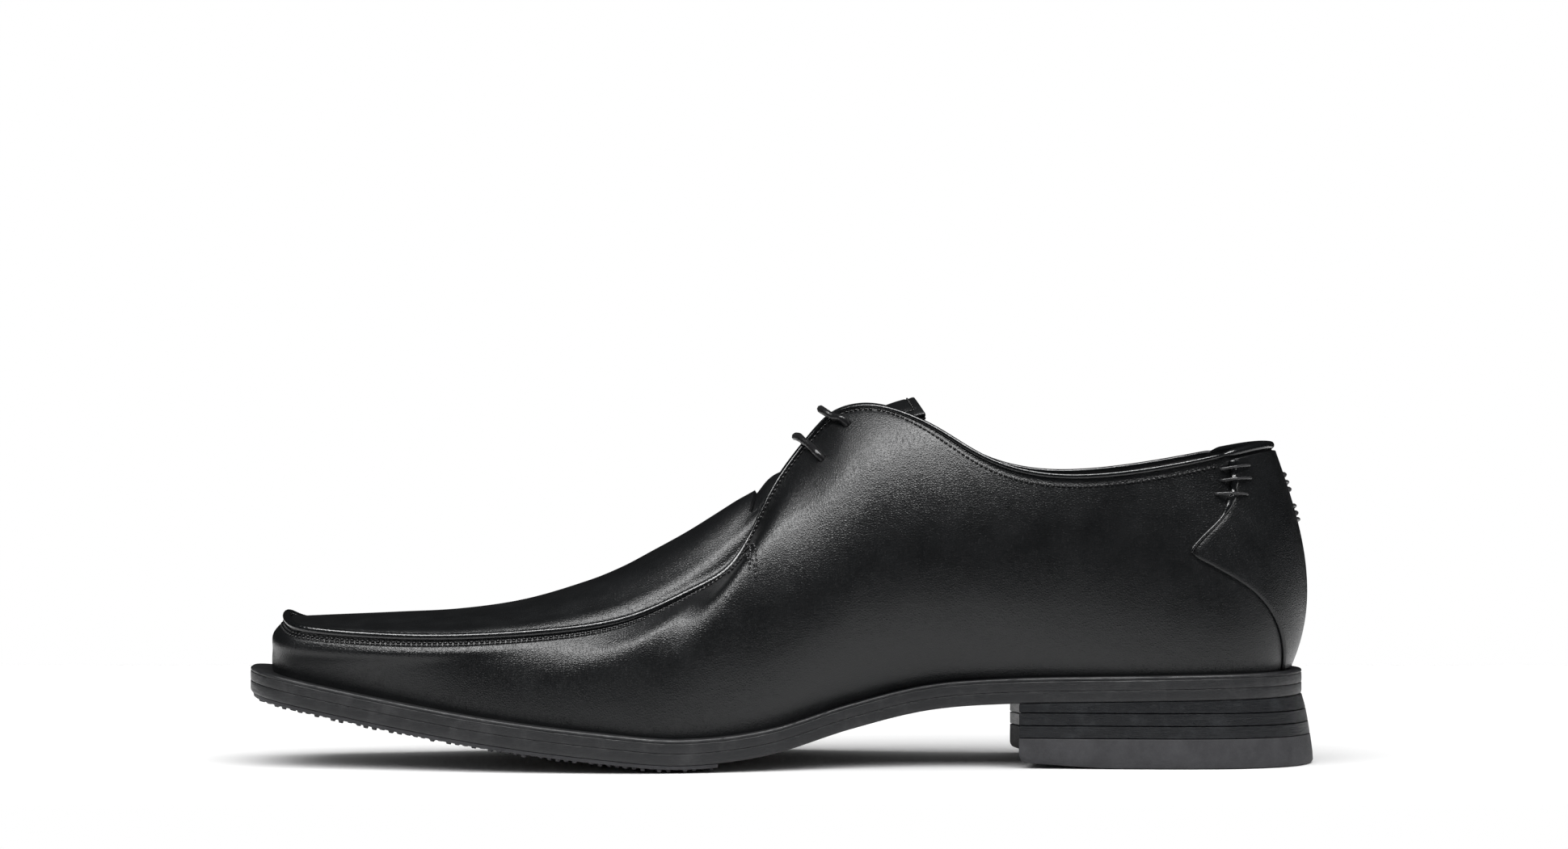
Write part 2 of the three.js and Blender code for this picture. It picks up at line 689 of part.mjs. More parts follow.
// One lace: along the sock, up to the inner lower hole, over the gap, under the outer facing, back over
// the gap to the inner upper hole, and down to the sock again
const laceRoute = [
  [-14, -13, 34.3], [-34, -14.5, 33.9], [-62, -13.2, 32.6], [-84, -15, 29.2], [-95, -16.8, 28.6],
  [-98.4, -17, 36], [-98.2, -16.4, 62], [-98.2, -17.8, 87], [-99.9, -19.5, 88.9],
  [-101.2, -20.8, 90.3], [-102.6, -20.4, 91.9], [-104.4, -15.9, 93.8], [-107.4, -11, 96],
  [-108.8, 0, 96.4], [-107.5, 11, 96.1], [-105.6, 16.3, 93.9], [-104.3, 20.9, 92.1],
  [-103.1, 21.7, 90.5], [-101.8, 20.6, 89], [-100, 19.2, 87], [-95, 16.4, 90.5], [-92.1, 15.4, 96.8],
  [-93.5, 17, 98.9], [-94.6, 18.3, 100.5], [-96, 18.3, 102.1], [-98, 15, 102.5], [-100.3, 11.7, 103.9],
  [-101.3, 0, 104.6], [-100.3, -11.6, 103.9], [-97.6, -14.6, 102.4], [-95.3, -17.8, 102],
  [-93.8, -17.6, 100.4], [-92.7, -16.2, 98.9], [-91.3, -14.3, 97], [-90.6, -13.6, 91],
  [-90.8, -12, 42], [-87.6, -9.6, 32.2], [-78, -7.6, 30.8], [-60, -5.5, 32.9],
  [-16, -1.5, 34.4],
];

function laceCurve() {
  return new THREE.CatmullRomCurve3(laceRoute.map((point) => new THREE.Vector3(...point)));
}

function lace() {
  const section = new THREE.Shape(Array.from({ length: roundSides }, (_, k) => {
    const angle = (2 * Math.PI * k) / roundSides;
    return new THREE.Vector2(laceRadius * Math.cos(angle), laceRadius * Math.sin(angle));
  }));
  return new THREE.ExtrudeGeometry(section, { steps: laceSteps, extrudePath: laceCurve() });
}

function agletAt(end) {
  const curve = laceCurve();
  const tip = curve.getPointAt(end);
  const direction = curve.getTangentAt(end).multiplyScalar(end === 0 ? -1 : 1);
  return rod(tip.addScaledVector(direction, gap), direction, aglet.length, aglet.radius, roundSides);
}

// Assembly

add('welt', welt(), 'soleEdge');
add('outsole', solePlate(edgeTrim, outsoleBottom, outsoleTop), 'soleEdge');
add('forefoot_tread', solePlate(treadMargin, treadTop - treadThickness, treadTop, station.treadEnd), 'rubber');
add('cork_filler', solePlate(weltReach + gap, corkLow, corkHigh), 'cork');
add('shank', shank(), 'steel');
const insoleInset = (s) => keyed(footInset, fold(s).row) + upperThickness + gap;
const insoleLow = gap + upperThickness + gap;
add('insole_board', solePlate(insoleInset, insoleLow, insoleLow + insoleThickness), 'board');
// The sock stays inside the lining's face, at its own bottom and top
const liningInset = (s, height) => {
  const t = shareAt(s, height);
  const face = wall(s, t, liningDepth(s, t) + liningThickness + gap);
  return soleEdge(s).sub(face).dot(outward(s));
};
const sockInset = (s) => Math.max(
  insoleInset(s) + stiffenerThickness + gap + liningThickness + gap,
  liningInset(s, liningFoot),
  liningInset(s, liningFoot + sockThickness),
);
add('sock_liner', solePlate(sockInset, liningFoot, liningFoot + sockThickness), 'lining');
add('heel_top_piece', heelTopPiece(), 'rubber');
for (let number = 1; number <= liftCount; number += 1) add(`heel_lift_${number}`, heelLift(number), 'soleEdge');
nailTools(nailRadius, topPieceTop + gap, liftLow(liftCount) - gap).forEach((nail, k) => {
  add(`heel_nail_${k + 1}`, nail, 'steel');
});
add('side_wall', sideWall(), 'leather');
add('quarter_lining', quarterLining(), 'lining');
add('heel_counter', stiffener(-counter.reach, counter.reach, counter.high, stiffenerFoot), 'board');
add('toe_puff', stiffener(toePuff.from, stations - toePuff.from, toePuff.high, stiffenerFoot), 'board');
add('heel_overlay', heelOverlay(), 'leather');
const seamFrom = station.throat + seamStart;
add('apron_seam', roll(seamFrom, stations - seamFrom, seamRollRadius), 'leather');
add('topline_binding_inner', roll(bindingStart, station.throat, edgeRollRadius), 'leather');
const outerBinding = roll(stations - station.throat, stations - bindingStart, edgeRollRadius);
add('topline_binding_outer', outerBinding, 'leather');
add('heel_tab', roll(-tabReach, tabReach, heelTabRadius), 'leather');
const seamGap = seamRollRadius + gap + seamClearance;
add('apron', apron(0, upperThickness, seamGap, 1), 'leather');
const liningGap = seamGap + apronLiningInset;
const underApron = apron(upperThickness + gap, liningThickness, liningGap, apronLiningRear);
add('apron_lining', underApron, 'lining');
add('tongue', tongueSheet(0, tongueThickness, 0), 'leather');
const underTongue = tongueSheet(tongueThickness + gap, tongueLiningThickness, tongueLiningStart);
add('tongue_lining', underTongue, 'lining');
add('lace', lace(), 'lace');
add('aglet_1', agletAt(0), 'lace');
add('aglet_2', agletAt(1), 'lace');

export default model;
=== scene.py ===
# Right derby shoe in black calf: square toe, raised apron seam, two pairs of lace holes, stacked heel
import bpy
import math
import numpy as np
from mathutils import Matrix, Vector


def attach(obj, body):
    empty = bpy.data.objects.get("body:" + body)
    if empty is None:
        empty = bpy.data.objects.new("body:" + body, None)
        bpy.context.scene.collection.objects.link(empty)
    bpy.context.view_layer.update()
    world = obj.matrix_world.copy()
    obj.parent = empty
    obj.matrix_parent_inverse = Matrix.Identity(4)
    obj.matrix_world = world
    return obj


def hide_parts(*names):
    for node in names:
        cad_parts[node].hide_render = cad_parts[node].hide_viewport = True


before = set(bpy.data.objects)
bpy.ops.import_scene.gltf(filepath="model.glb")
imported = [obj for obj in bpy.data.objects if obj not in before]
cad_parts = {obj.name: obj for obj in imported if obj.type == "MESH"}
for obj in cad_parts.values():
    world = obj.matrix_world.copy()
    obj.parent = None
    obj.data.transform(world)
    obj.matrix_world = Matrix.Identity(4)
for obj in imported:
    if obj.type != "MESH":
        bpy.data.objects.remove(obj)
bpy.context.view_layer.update()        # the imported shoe: bodies "shoe" and "tongue"
mm = 0.001
rng = np.random.default_rng(11)

# camera
view = {"distance": 1600, "height": 120, "lens": 123.8, "acrossAt": -112.2, "shiftY": -0.043}


def addCamera():
    data = bpy.data.cameras.new("camera")
    data.lens = view["lens"]
    data.sensor_width = 36
    data.shift_y = view["shiftY"]
    data.clip_end = 20
    camera = bpy.data.objects.new("camera", data)
    bpy.context.scene.collection.objects.link(camera)
    camera.location = (view["acrossAt"] * mm, -view["distance"] * mm, view["height"] * mm)
    camera.rotation_euler = (math.radians(90), 0, 0)
    bpy.context.scene.camera = camera


addCamera()

# lines of the last, in millimetres
# one row per station from the back of the heel to the middle of the toe: sole edge (from the back, inner and
# outer half width), then top line (from the back, inner, outer, height)
last = {
    "heelCentre": 45,
    "lines": [
        (3.8, 0, 0, 13, 0, 0, 93.8), (6.3, 13, 13.3, 15, 9.5, 9.5, 93.8), (14, 24.5, 25, 20.5, 17.3, 17.5, 93),
        (30, 31.8, 32.6, 32, 25.6, 26, 90.6), (54, 32, 34, 52, 31.4, 31.8, 87),
        (80, 29.5, 35, 76, 32.2, 32.5, 85.3),
        (100, 27.6, 37.2, 96, 29.5, 30, 89.4), (117, 27.8, 40.2, 110, 25, 25.8, 97.3),
        (131, 30, 43.2, 121, 20.5, 21.6, 102.9), (143, 33.7, 46, 131.5, 15.8, 16.6, 105.5),
        (154, 38, 48.6, 141, 11.8, 12.2, 103.8), (165, 42.2, 50.7, 147.5, 9.8, 10.1, 98.4),
        (176, 46, 52, 154.5, 11.2, 11.5, 89.7), (187, 48.7, 52.6, 162, 15.6, 16, 77.8),
        (200, 50, 52.4, 171, 21.5, 22, 60.8), (215, 49.8, 51, 184, 29.5, 30.5, 52),
        (233, 47.5, 47.5, 203, 34.8, 35.5, 44), (252, 43, 42.5, 228, 36.3, 36.3, 40.2),
        (271, 37.2, 36.5, 254, 34, 33.4, 38.7), (288, 32, 31, 277, 30, 28.6, 39),
        (301, 28, 27, 295, 25.3, 24.4, 40.3), (310, 21, 20.3, 301.7, 18.2, 17.4, 41.8),
        (314.3, 10, 9.8, 303.9, 9, 8.8, 43.4), (315, 0, 0, 304.4, 0, 0, 44)],
    "soleProfile": [(-10, 28.4), (0, 28), (56, 27), (91, 26.2), (115, 24.3), (138, 19), (162, 12.1),
                    (186, 9.72), (208, 11.3), (244, 15.6), (280, 21.7), (315, 28.8), (330, 32.2)],
    "apronRidge": [(160, 84.3), (167, 80.2), (176.4, 74.2), (186, 68.2), (195.6, 62.9), (205, 57.9),
                   (215, 53.8), (234, 48.2), (253, 45.4), (272, 44.4), (291, 43.6), (304, 43)],
    "footInset": [(0, 4.3), (3, 3.2), (7, 3.2), (11, 4.3), (16, 5.2), (20, 6), (23, 6.6)],
    "flareInner": [(0, 26), (3, 16), (6.5, 34), (9, 30), (12, 12), (16, 6), (20, 7), (23, 7)],
    "flareOuter": [(0, 26), (3, 15), (6.5, 12), (9, 9), (12, 7), (16, 6), (20, 7), (23, 7)],
    "topLean": [(0, 20), (4, 9), (6, 22), (7.2, 36), (8.2, 45), (9.2, 58), (10, 63), (11.5, 68), (12.6, 74),
                (13.3, 77), (14, 78), (14.7, 70), (15.5, 58), (16.5, 48), (18, 40), (20, 35), (23, 33)],
    "handle": 0.36,
}
toe = len(last["lines"]) - 1
loopLength = 2 * toe
layer = {"gap": 0.3, "lining": 0.9, "stiffener": 1.2}


def keyed(keys, at):
    keys = np.array(keys, float)
    x, y = keys[:, 0], keys[:, 1]
    at = np.clip(np.asarray(at, float), x[0], x[-1])
    slope = np.empty(len(x))
    slope[1:-1] = (y[2:] - y[:-2]) / (x[2:] - x[:-2])
    slope[0] = (y[1] - y[0]) / (x[1] - x[0])
    slope[-1] = (y[-1] - y[-2]) / (x[-1] - x[-2])
    k = np.clip(np.searchsorted(x, at, side="right") - 1, 0, len(x) - 2)
    span = x[k + 1] - x[k]
    f = (at - x[k]) / span
    return ((2 * f ** 3 - 3 * f ** 2 + 1) * y[k] + (f ** 3 - 2 * f ** 2 + f) * span * slope[k]
            + (3 * f ** 2 - 2 * f ** 3) * y[k + 1] + (f ** 3 - f ** 2) * span * slope[k + 1])


def smoothLoop(points):
    points = np.array(points, float)
    count = len(points)
    controls = points.copy()
    for _ in range(40):
        for i in range(count):
            controls[i] = (6 * points[i] - controls[i - 1] - controls[(i + 1) % count]) / 4

    def at(s):
        s = np.asarray(s, float)
        cell = np.floor(s).astype(int)
        f = (s - cell)[..., None]
        weights = [(1 - f) ** 3, 3 * f ** 3 - 6 * f ** 2 + 4, -3 * f ** 3 + 3 * f ** 2 + 3 * f + 1, f ** 3]
        return sum(w * controls[(cell + k - 1) % count] for k, w in enumerate(weights)) / 6
    return at


def bothSides(pointOfRow):
    rows = last["lines"]
    return smoothLoop([pointOfRow(r, -1) for r in rows] + [pointOfRow(r, 1) for r in rows[1:-1]][::-1])


def across(row, side, inner, outer):
    return -row[inner] if side < 0 else row[outer]


soleEdge = bothSides(lambda r, side: (last["heelCentre"] - r[0], across(r, side, 1, 2), 0))
topLine = bothSides(lambda r, side: (last["heelCentre"] - r[3], across(r, side, 4, 5), r[6]))


def rowOf(s):
    wrapped = np.mod(s, loopLength)
    return np.where(wrapped <= toe, wrapped, loopLength - wrapped)


def isInner(s):
    return np.mod(s, loopLength) <= toe


def unit(v):
    return v / np.maximum(np.linalg.norm(v, axis=-1, keepdims=True), 1e-9)


def outward(s):
    along = soleEdge(np.asarray(s) + 0.05) - soleEdge(np.asarray(s) - 0.05)
    return unit(np.stack([-along[..., 1], along[..., 0], np.zeros(along.shape[:-1])], -1))


def soleTop(x):
    return keyed(last["soleProfile"], last["heelCentre"] - x)


def soleInset(s, inset, lift):
    point = soleEdge(s) - outward(s) * np.asarray(inset, float)[..., None]
    point[..., 2] = soleTop(point[..., 0]) + lift
    return point


def footOf(s):
    return soleInset(s, keyed(last["footInset"], rowOf(s)), layer["gap"])


def wallSurface(s, t):
    s, t = np.broadcast_arrays(np.asarray(s, float), np.asarray(t, float))
    low, high, out = footOf(s), topLine(s), outward(s)
    reach = last["handle"] * np.linalg.norm(high - low, axis=-1, keepdims=True)
    row = rowOf(s)
    flare = np.where(isInner(s), keyed(last["flareInner"], row), keyed(last["flareOuter"], row))
    flare = np.radians(flare)[..., None]
    lean = np.radians(keyed(last["topLean"], row))[..., None]
    up = np.array([0, 0, 1.0])
    b1 = low + out * np.sin(flare) * reach + up * np.cos(flare) * reach
    b2 = high + out * np.sin(lean) * reach - up * np.cos(lean) * reach
    f = t[..., None]
    return (1 - f) ** 3 * low + 3 * (1 - f) ** 2 * f * b1 + 3 * (1 - f) * f ** 2 * b2 + f ** 3 * high


def normalOf(surface, a, b, step=0.02):
    a, b = np.broadcast_arrays(np.asarray(a, float), np.asarray(b, float))
    alongA = surface(a + step, b) - surface(a - step, b)
    alongB = surface(a, b + step) - surface(a, b - step)
    return unit(np.cross(alongA, alongB))


def wall(s, t, depth=0.0):  # depth counts inwards from the leather's outer face
    return wallSurface(s, t) + normalOf(wallSurface, s, t) * np.asarray(depth, float)[..., None]


def chordOf(s):  # straight height of the wall, from its foot to the top line
    return np.linalg.norm(topLine(s) - footOf(s), axis=-1)


def smoothstep(a, b, x):
    f = np.clip((np.asarray(x, float) - a) / (b - a), 0, 1)
    return f * f * (3 - 2 * f)


# materials
def newMaterial(name, color, roughness, specular=0.5, coat=0.0, coatRoughness=0.2, sheen=0.0, metallic=0.0):
    material = bpy.data.materials.new(name)
    material.use_nodes = True
    shader = material.node_tree.nodes["Principled BSDF"]
    shader.inputs["Base Color"].default_value = (*color, 1)
    shader.inputs["Roughness"].default_value = roughness
    shader.inputs["Specular IOR Level"].default_value = specular
    shader.inputs["Coat Weight"].default_value = coat
    shader.inputs["Coat Roughness"].default_value = coatRoughness
    shader.inputs["Sheen Weight"].default_value = sheen
    shader.inputs["Metallic"].default_value = metallic
    return material


class NodeTree:  # short forms for adding and linking shader nodes
    def __init__(self, material):
        self.tree = material.node_tree
        self.shader = self.tree.nodes["Principled BSDF"]
        self.place = self.add("ShaderNodeTexCoord").outputs["Object"]

    def add(self, kind):
        return self.tree.nodes.new(kind)

    def link(self, a, b):
        self.tree.links.new(a, b)

    def noise(self, scale, detail=3.0, roughness=0.5, stretch=None):
        node = self.add("ShaderNodeTexNoise")
        node.inputs["Scale"].default_value = scale
        node.inputs["Detail"].default_value = detail
        node.inputs["Roughness"].default_value = roughness
        self.link(self.stretched(stretch), node.inputs["Vector"])
        return node.outputs["Fac"]

    def cells(self, scale, stretch=None):
        node = self.add("ShaderNodeTexVoronoi")
        node.feature = "DISTANCE_TO_EDGE"
        node.inputs["Scale"].default_value = scale
        node.inputs["Randomness"].default_value = 1.0
        self.link(self.stretched(stretch), node.inputs["Vector"])
        return node.outputs["Distance"]

    def stretched(self, stretch):
        if stretch is None:
            return self.place
        mapping = self.add("ShaderNodeMapping")
        mapping.inputs["Scale"].default_value = stretch
        self.link(self.place, mapping.inputs["Vector"])
        return mapping.outputs["Vector"]

    def ramp(self, source, low, high, fromLow=0.0, fromHigh=1.0):
        node = self.add("ShaderNodeMapRange")
        for key, value in (("From Min", fromLow), ("From Max", fromHigh), ("To Min", low), ("To Max", high)):
            node.inputs[key].default_value = value
        self.link(source, node.inputs["Value"])
        return node.outputs["Result"]

    def mix(self, factor, colorA, colorB):
        node = self.add("ShaderNodeMix")
        node.data_type = "RGBA"
        self.link(factor, node.inputs["Factor"])
        for slot, color in ((6, colorA), (7, colorB)):
            if isinstance(color, tuple):
                node.inputs[slot].default_value = (*color, 1)
            else:
                self.link(color, node.inputs[slot])
        return node.outputs[2]

    def bump(self, height, strength, distance, after=None):
        node = self.add("ShaderNodeBump")
        node.inputs["Strength"].default_value = strength
        node.inputs["Distance"].default_value = distance
        self.link(height, node.inputs["Height"])
        if after is not None:
            self.link(after, node.inputs["Normal"])
        return node.outputs["Normal"]

    def finish(self, color=None, roughness=None, normal=None):
        for source, name in ((color, "Base Color"), (roughness, "Roughness"), (normal, "Normal")):
            if source is not None:
                self.link(source, self.shader.inputs[name])


def calfLeather(name, grain=1.0, roughness=(0.31, 0.38), color=(0.0045, 0.005, 0.0056), coat=0.08):
    material = newMaterial(name, color, 0.36, specular=0.4, coat=coat, coatRoughness=0.2)
    n = NodeTree(material)
    pores = n.cells(1500, stretch=(1, 1, 1))          # fine grain of the calf, cells of about 0.7 mm
    fine = n.noise(2600, detail=2)
    soft = n.noise(90, detail=4, roughness=0.6)
    creases = n.noise(260, detail=5, roughness=0.7, stretch=(1, 1, 1.4))
    normal = n.bump(pores, 0.5 * grain, 0.0003)
    normal = n.bump(fine, 0.3 * grain, 0.00018, normal)
    normal = n.bump(creases, 0.14 * grain, 0.0006, normal)
    lighter = tuple(c * 1.3 + 0.0005 for c in color)
    n.finish(color=n.mix(n.ramp(soft, 0, 1, 0.35, 0.7), color, lighter),
             roughness=n.ramp(soft, roughness[0], roughness[1], 0.3, 0.7), normal=normal)
    return material


def edgeLeather(name, color, wear, roughness=(0.34, 0.6), lines=0.0):
    material = newMaterial(name, color, 0.45, specular=0.4, coat=0.1, coatRoughness=0.35)
    n = NodeTree(material)
    grain = n.noise(900, detail=6, roughness=0.7, stretch=(0.35, 0.35, 1.6))   # fibres lie along the edge
    scratches = n.noise(1500, detail=3, roughness=0.8, stretch=(0.12, 0.12, 2.2))
    worn = n.noise(120, detail=5, roughness=0.75)
    normal = n.bump(grain, 0.35, 0.0005)
    normal = n.bump(scratches, 0.3, 0.0003, normal)
    shade = n.mix(n.ramp(worn, 0, 1, 0.5, 0.72), color, wear)
    shade = n.mix(n.ramp(scratches, 0, 0.5, 0.62, 0.75), shade, wear)
    n.finish(color=shade, roughness=n.ramp(grain, roughness[0], roughness[1], 0.3, 0.7), normal=normal)
    return material


def rubberMaterial(name, color):
    material = newMaterial(name, color, 0.62, specular=0.35)
    n = NodeTree(material)
    speckle = n.noise(1800, detail=4, roughness=0.7)
    dust = n.noise(140, detail=5, roughness=0.7)
    lighter = tuple(c * 1.5 + 0.004 for c in color)
    n.finish(color=n.mix(n.ramp(dust, 0, 1, 0.4, 0.75), color, lighter),
             roughness=n.ramp(speckle, 0.52, 0.75, 0.3, 0.7), normal=n.bump(speckle, 0.25, 0.0002))
    return material


def threadMaterial(name, color, roughness=0.5):
    material = newMaterial(name, color, roughness, specular=0.5, sheen=0.03)
    n = NodeTree(material)
    twist = n.noise(3500, detail=2)
    lighter = tuple(c * 2.0 + 0.002 for c in color)
    n.finish(color=n.mix(twist, color, lighter), normal=n.bump(twist, 0.5, 0.0001))
    return material


def liningLeather(name, color):
    material = newMaterial(name, color, 0.6, specular=0.3)
    n = NodeTree(material)
    grain = n.cells(1100)
    soft = n.noise(120, detail=5, roughness=0.65)
    lighter = tuple(c * 1.6 + 0.003 for c in color)
    n.finish(color=n.mix(n.ramp(soft, 0, 1, 0.35, 0.7), color, lighter),
             roughness=n.ramp(soft, 0.5, 0.72, 0.3, 0.7), normal=n.bump(grain, 0.25, 0.0003))
    return material


blackCalf = calfLeather("blackCalf")
rolledCalf = calfLeather("rolledCalf", grain=0.5, roughness=(0.14, 0.24), coat=0.5)
weltEdge = edgeLeather("weltEdge", (0.012, 0.0125, 0.014), (0.03, 0.03, 0.032))
stackEdge = edgeLeather("stackEdge", (0.005, 0.0058, 0.0075), (0.02, 0.022, 0.025), (0.26, 0.45))
soleRubber = rubberMaterial("soleRubber", (0.032, 0.032, 0.035))
seamThread = threadMaterial("seamThread", (0.003, 0.003, 0.0034), 0.3)
# the same black thread as seamThread but glossier, with a lighter base colour as a painted glint so these
# stitches read light on the dark leather
glossyThreadPaintedGlint = threadMaterial("glossyThreadPaintedGlint", (0.02, 0.02, 0.021), 0.2)
laceCotton = threadMaterial("laceCotton", (0.006, 0.006, 0.0066), 0.28)
blackLining = liningLeather("blackLining", (0.014, 0.013, 0.013))
agletPlastic = newMaterial("agletPlastic", (0.01, 0.01, 0.011), 0.25, specular=0.5)
print("materials ready")


# making pieces
def deselectAll():
    for obj in bpy.context.selected_objects:
        obj.select_set(False)


def activate(obj):
    deselectAll()
    obj.select_set(True)
    bpy.context.view_layer.objects.active = obj


# points: rows by columns by xyz, in millimetres
def gridPiece(name, points, material, wrapAcross=False, wrapAlong=False):
    if wrapAcross:
        points = np.concatenate([points, points[:, :1]], axis=1)
    if wrapAlong:
        points = np.concatenate([points, points[:1]], axis=0)
    rows, columns = points.shape[:2]
    deselectAll()
    bpy.ops.mesh.primitive_grid_add(x_subdivisions=columns - 1, y_subdivisions=rows - 1, size=2)
    obj = bpy.context.object
    obj.name = name
    obj.data.name = name
    flat = np.zeros(len(obj.data.vertices) * 3)
    obj.data.vertices.foreach_get("co", flat)
    flat = flat.reshape(-1, 3)
    i = np.rint((flat[:, 1] + 1) / 2 * (rows - 1)).astype(int)
    j = np.rint((flat[:, 0] + 1) / 2 * (columns - 1)).astype(int)
    obj.data.vertices.foreach_set("co", (points[i, j] * mm).ravel())
    obj.data.update()
    mergeClose(obj)
    obj.data.materials.append(material)
    return obj


def mergeClose(obj, distance=2e-6):
    activate(obj)
    bpy.ops.object.mode_set(mode="EDIT")
    bpy.ops.mesh.select_all(action="SELECT")
    bpy.ops.mesh.remove_doubles(threshold=distance)
    bpy.ops.mesh.normals_make_consistent(inside=False)
    bpy.ops.object.mode_set(mode="OBJECT")


def applyModifier(obj, kind, **values):
    activate(obj)
    modifier = obj.modifiers.new(kind.lower(), kind)
    for key, value in values.items():
        setattr(modifier, key, value)
    bpy.ops.object.modifier_apply(modifier=modifier.name)


def thicken(obj, thickness, bevel=0.0, segments=2):
    applyModifier(obj, "SOLIDIFY", thickness=thickness * mm, offset=-1, use_even_offset=False)
    if bevel:
        applyModifier(obj, "BEVEL", width=bevel * mm, segments=segments, limit_method="ANGLE",
                      angle_limit=math.radians(55))


def smoothShade(obj, angle=40):
    activate(obj)
    bpy.ops.object.shade_smooth_by_angle(angle=math.radians(angle))


def place(obj, slot, *replaced, body="shoe"):
    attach(obj, body)
    if replaced:
        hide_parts(*replaced)
    return obj


def travelledAlong(path):
    return np.concatenate([[0], np.cumsum(np.linalg.norm(np.diff(path, axis=0), axis=1))])


def resampledLike(path, values, count):
    lengths = travelledAlong(path)
    at = np.linspace(0, lengths[-1], count)
    return np.stack([np.interp(at, lengths, values[:, k]) for k in range(3)], -1)


def resampled(path, count):
    return resampledLike(path, path, count)


def pathLength(path):
    return float(np.linalg.norm(np.diff(path, axis=0), axis=1).sum())


# round rod along a path, with closed ends
def tube(name, path, ups, radius, material, sides=12, profile=None):
    along = unit(np.gradient(path, axis=0))
    side = unit(np.cross(along, ups))
    rise = np.cross(side, along)
    angles = np.linspace(0, 2 * math.pi, sides, endpoint=False)
    radii = np.full(len(path), radius) if profile is None else profile
    ring = side[:, None] * np.cos(angles)[None, :, None] + rise[:, None] * np.sin(angles)[None, :, None]
    points = path[:, None] + ring * radii[:, None, None]
    first = np.repeat(path[:1] - along[:1] * radii[0] * 0.5, sides, 0)[None]
    final = np.repeat(path[-1:] + along[-1:] * radii[-1] * 0.5, sides, 0)[None]
    near = path[:1, None] - (along[:1] * radii[0] * 0.35)[:, None] + ring[:1] * radii[0] * 0.7
    far = path[-1:, None] + (along[-1:] * radii[-1] * 0.35)[:, None] + ring[-1:] * radii[-1] * 0.7
    points = np.concatenate([first, near, points, far, final], 0)
    obj = gridPiece(name, points, material, wrapAcross=True)
    smoothShade(obj, 60)
    return obj


stitchShape = {"pitch": 1.55, "length": 1.35, "radius": 0.32, "sides": 6}


# points: copies by vertices by xyz, in millimetres
def fromCopies(name, points, faces, material, angle):
    count = points.shape[1]
    allFaces = [tuple(v + k * count for v in face) for k in range(len(points)) for face in faces]
    mesh = bpy.data.meshes.new(name)
    mesh.from_pydata((points.reshape(-1, 3) * mm).tolist(), [], allFaces)
    obj = bpy.data.objects.new(name, mesh)
    bpy.context.scene.collection.objects.link(obj)
    mesh.materials.append(material)
    smoothShade(obj, angle)
    return obj


# one small rounded thread stitch, copied to every place on a seam
def stitchMesh(name, centres, alongs, normals, material, length=None, radius=None):
    length = length or stitchShape["length"]
    radius = radius or stitchShape["radius"]
    deselectAll()
    bpy.ops.mesh.primitive_uv_sphere_add(segments=stitchShape["sides"], ring_count=5, radius=1)
    one = bpy.context.object
    mesh = one.data
    unitCo = np.zeros(len(mesh.vertices) * 3)
    mesh.vertices.foreach_get("co", unitCo)
    unitCo = unitCo.reshape(-1, 3)
    faces = [tuple(p.vertices) for p in mesh.polygons]
    bpy.data.objects.remove(one)
    swell = unitCo * [radius, radius, length / 2]
    side = unit(np.cross(alongs, normals))
    normals = np.cross(side, alongs)
    basis = np.stack([side, normals, alongs], 1)
    bow = 1 - (unitCo[:, 2] ** 2)[None, :, None]
    points = centres[:, None] + np.einsum("vk,nkd->nvd", swell, basis)
    points = points + normals[:, None] * radius * 0.5 * bow
    return fromCopies(name, points, faces, material, 60)


# side wall of the upper
wallShape = {"columns": 16, "thickness": 1.2, "channelDepth": 0.5, "swell": 1.05, "wrinkle": 0.06,
             "edgeRows": 18, "edgeDepth": 4.5, "lowerRows": 36, "holeRadius": 1.25}
# spans are in stations along the wall or in millimetres below the top line; At gives the middle and the width
reliefShape = {"seamFrom": (14.2, 15.2), "channelIn": (0.9, 1.5), "channelOut": (3.0, 3.9),
               "swellAt": (6.6, 2.8), "swellFrom": (16.5, 19), "facingFrom": (2.2, 3.4), "press": 0.16,
               "pressAt": (1.7, 0.8),
               "pullIn": (11.6, 12.6), "pullOut": (14, 14.6), "pullAt": (3, 5), "calm": 0.09}
# corners of the throat triangle: station, and share of the way up the wall
triangleAt = {"outer": [(13.76, 0.915), (12.33, 0.5), (14.37, 0.965)],
              "inner": [(13.86, 0.955), (12.7, 0.554), (14.2, 0.975)],
              "length": 1.3, "radius": 0.34, "lift": 0.16}
holePlaces = [(11.15, 13.0), (9.95, 6.6), (loopLength - 11.15, 13.0), (loopLength - 9.95, 6.6)]


def ridgeAt(drop, at, width):  # a bump or hollow that fades out both ways
    return np.exp(-((drop - at) / width) ** 2)


def wallRelief(s, drop):  # how far the leather is pulled in, from the distance below the top line
    row = rowOf(s)
    seam = smoothstep(*reliefShape["seamFrom"], row)
    channel = wallShape["channelDepth"] * smoothstep(*reliefShape["channelIn"], drop)
    channel = channel * (1 - smoothstep(*reliefShape["channelOut"], drop))
    swell = wallShape["swell"] * ridgeAt(drop, *reliefShape["swellAt"])
    swell = swell * smoothstep(*reliefShape["swellFrom"], row)
    facing = smoothstep(*reliefShape["facingFrom"], row) * (1 - seam)
    edge = reliefShape["press"] * ridgeAt(drop, *reliefShape["pressAt"])
    pull = smoothstep(*reliefShape["pullIn"], row) * (1 - smoothstep(*reliefShape["pullOut"], row))
    ripples = wallShape["wrinkle"] * pull * ridgeAt(drop, *reliefShape["pullAt"])
    ripples = ripples * np.sin(row * 31 + drop * 0.35 + 1.3 * np.sin(row * 5))
    calm = reliefShape["calm"] * np.sin(row * 1.9 + 0.09 * drop) * np.sin(drop * 0.13 + row)
    return seam * (channel - swell) + facing * edge + ripples + calm * smoothstep(4, 12, drop)


def onWall(s, t, lift):
    return wall(s, t, wallRelief(s, (1 - t) * chordOf(s)) - lift)


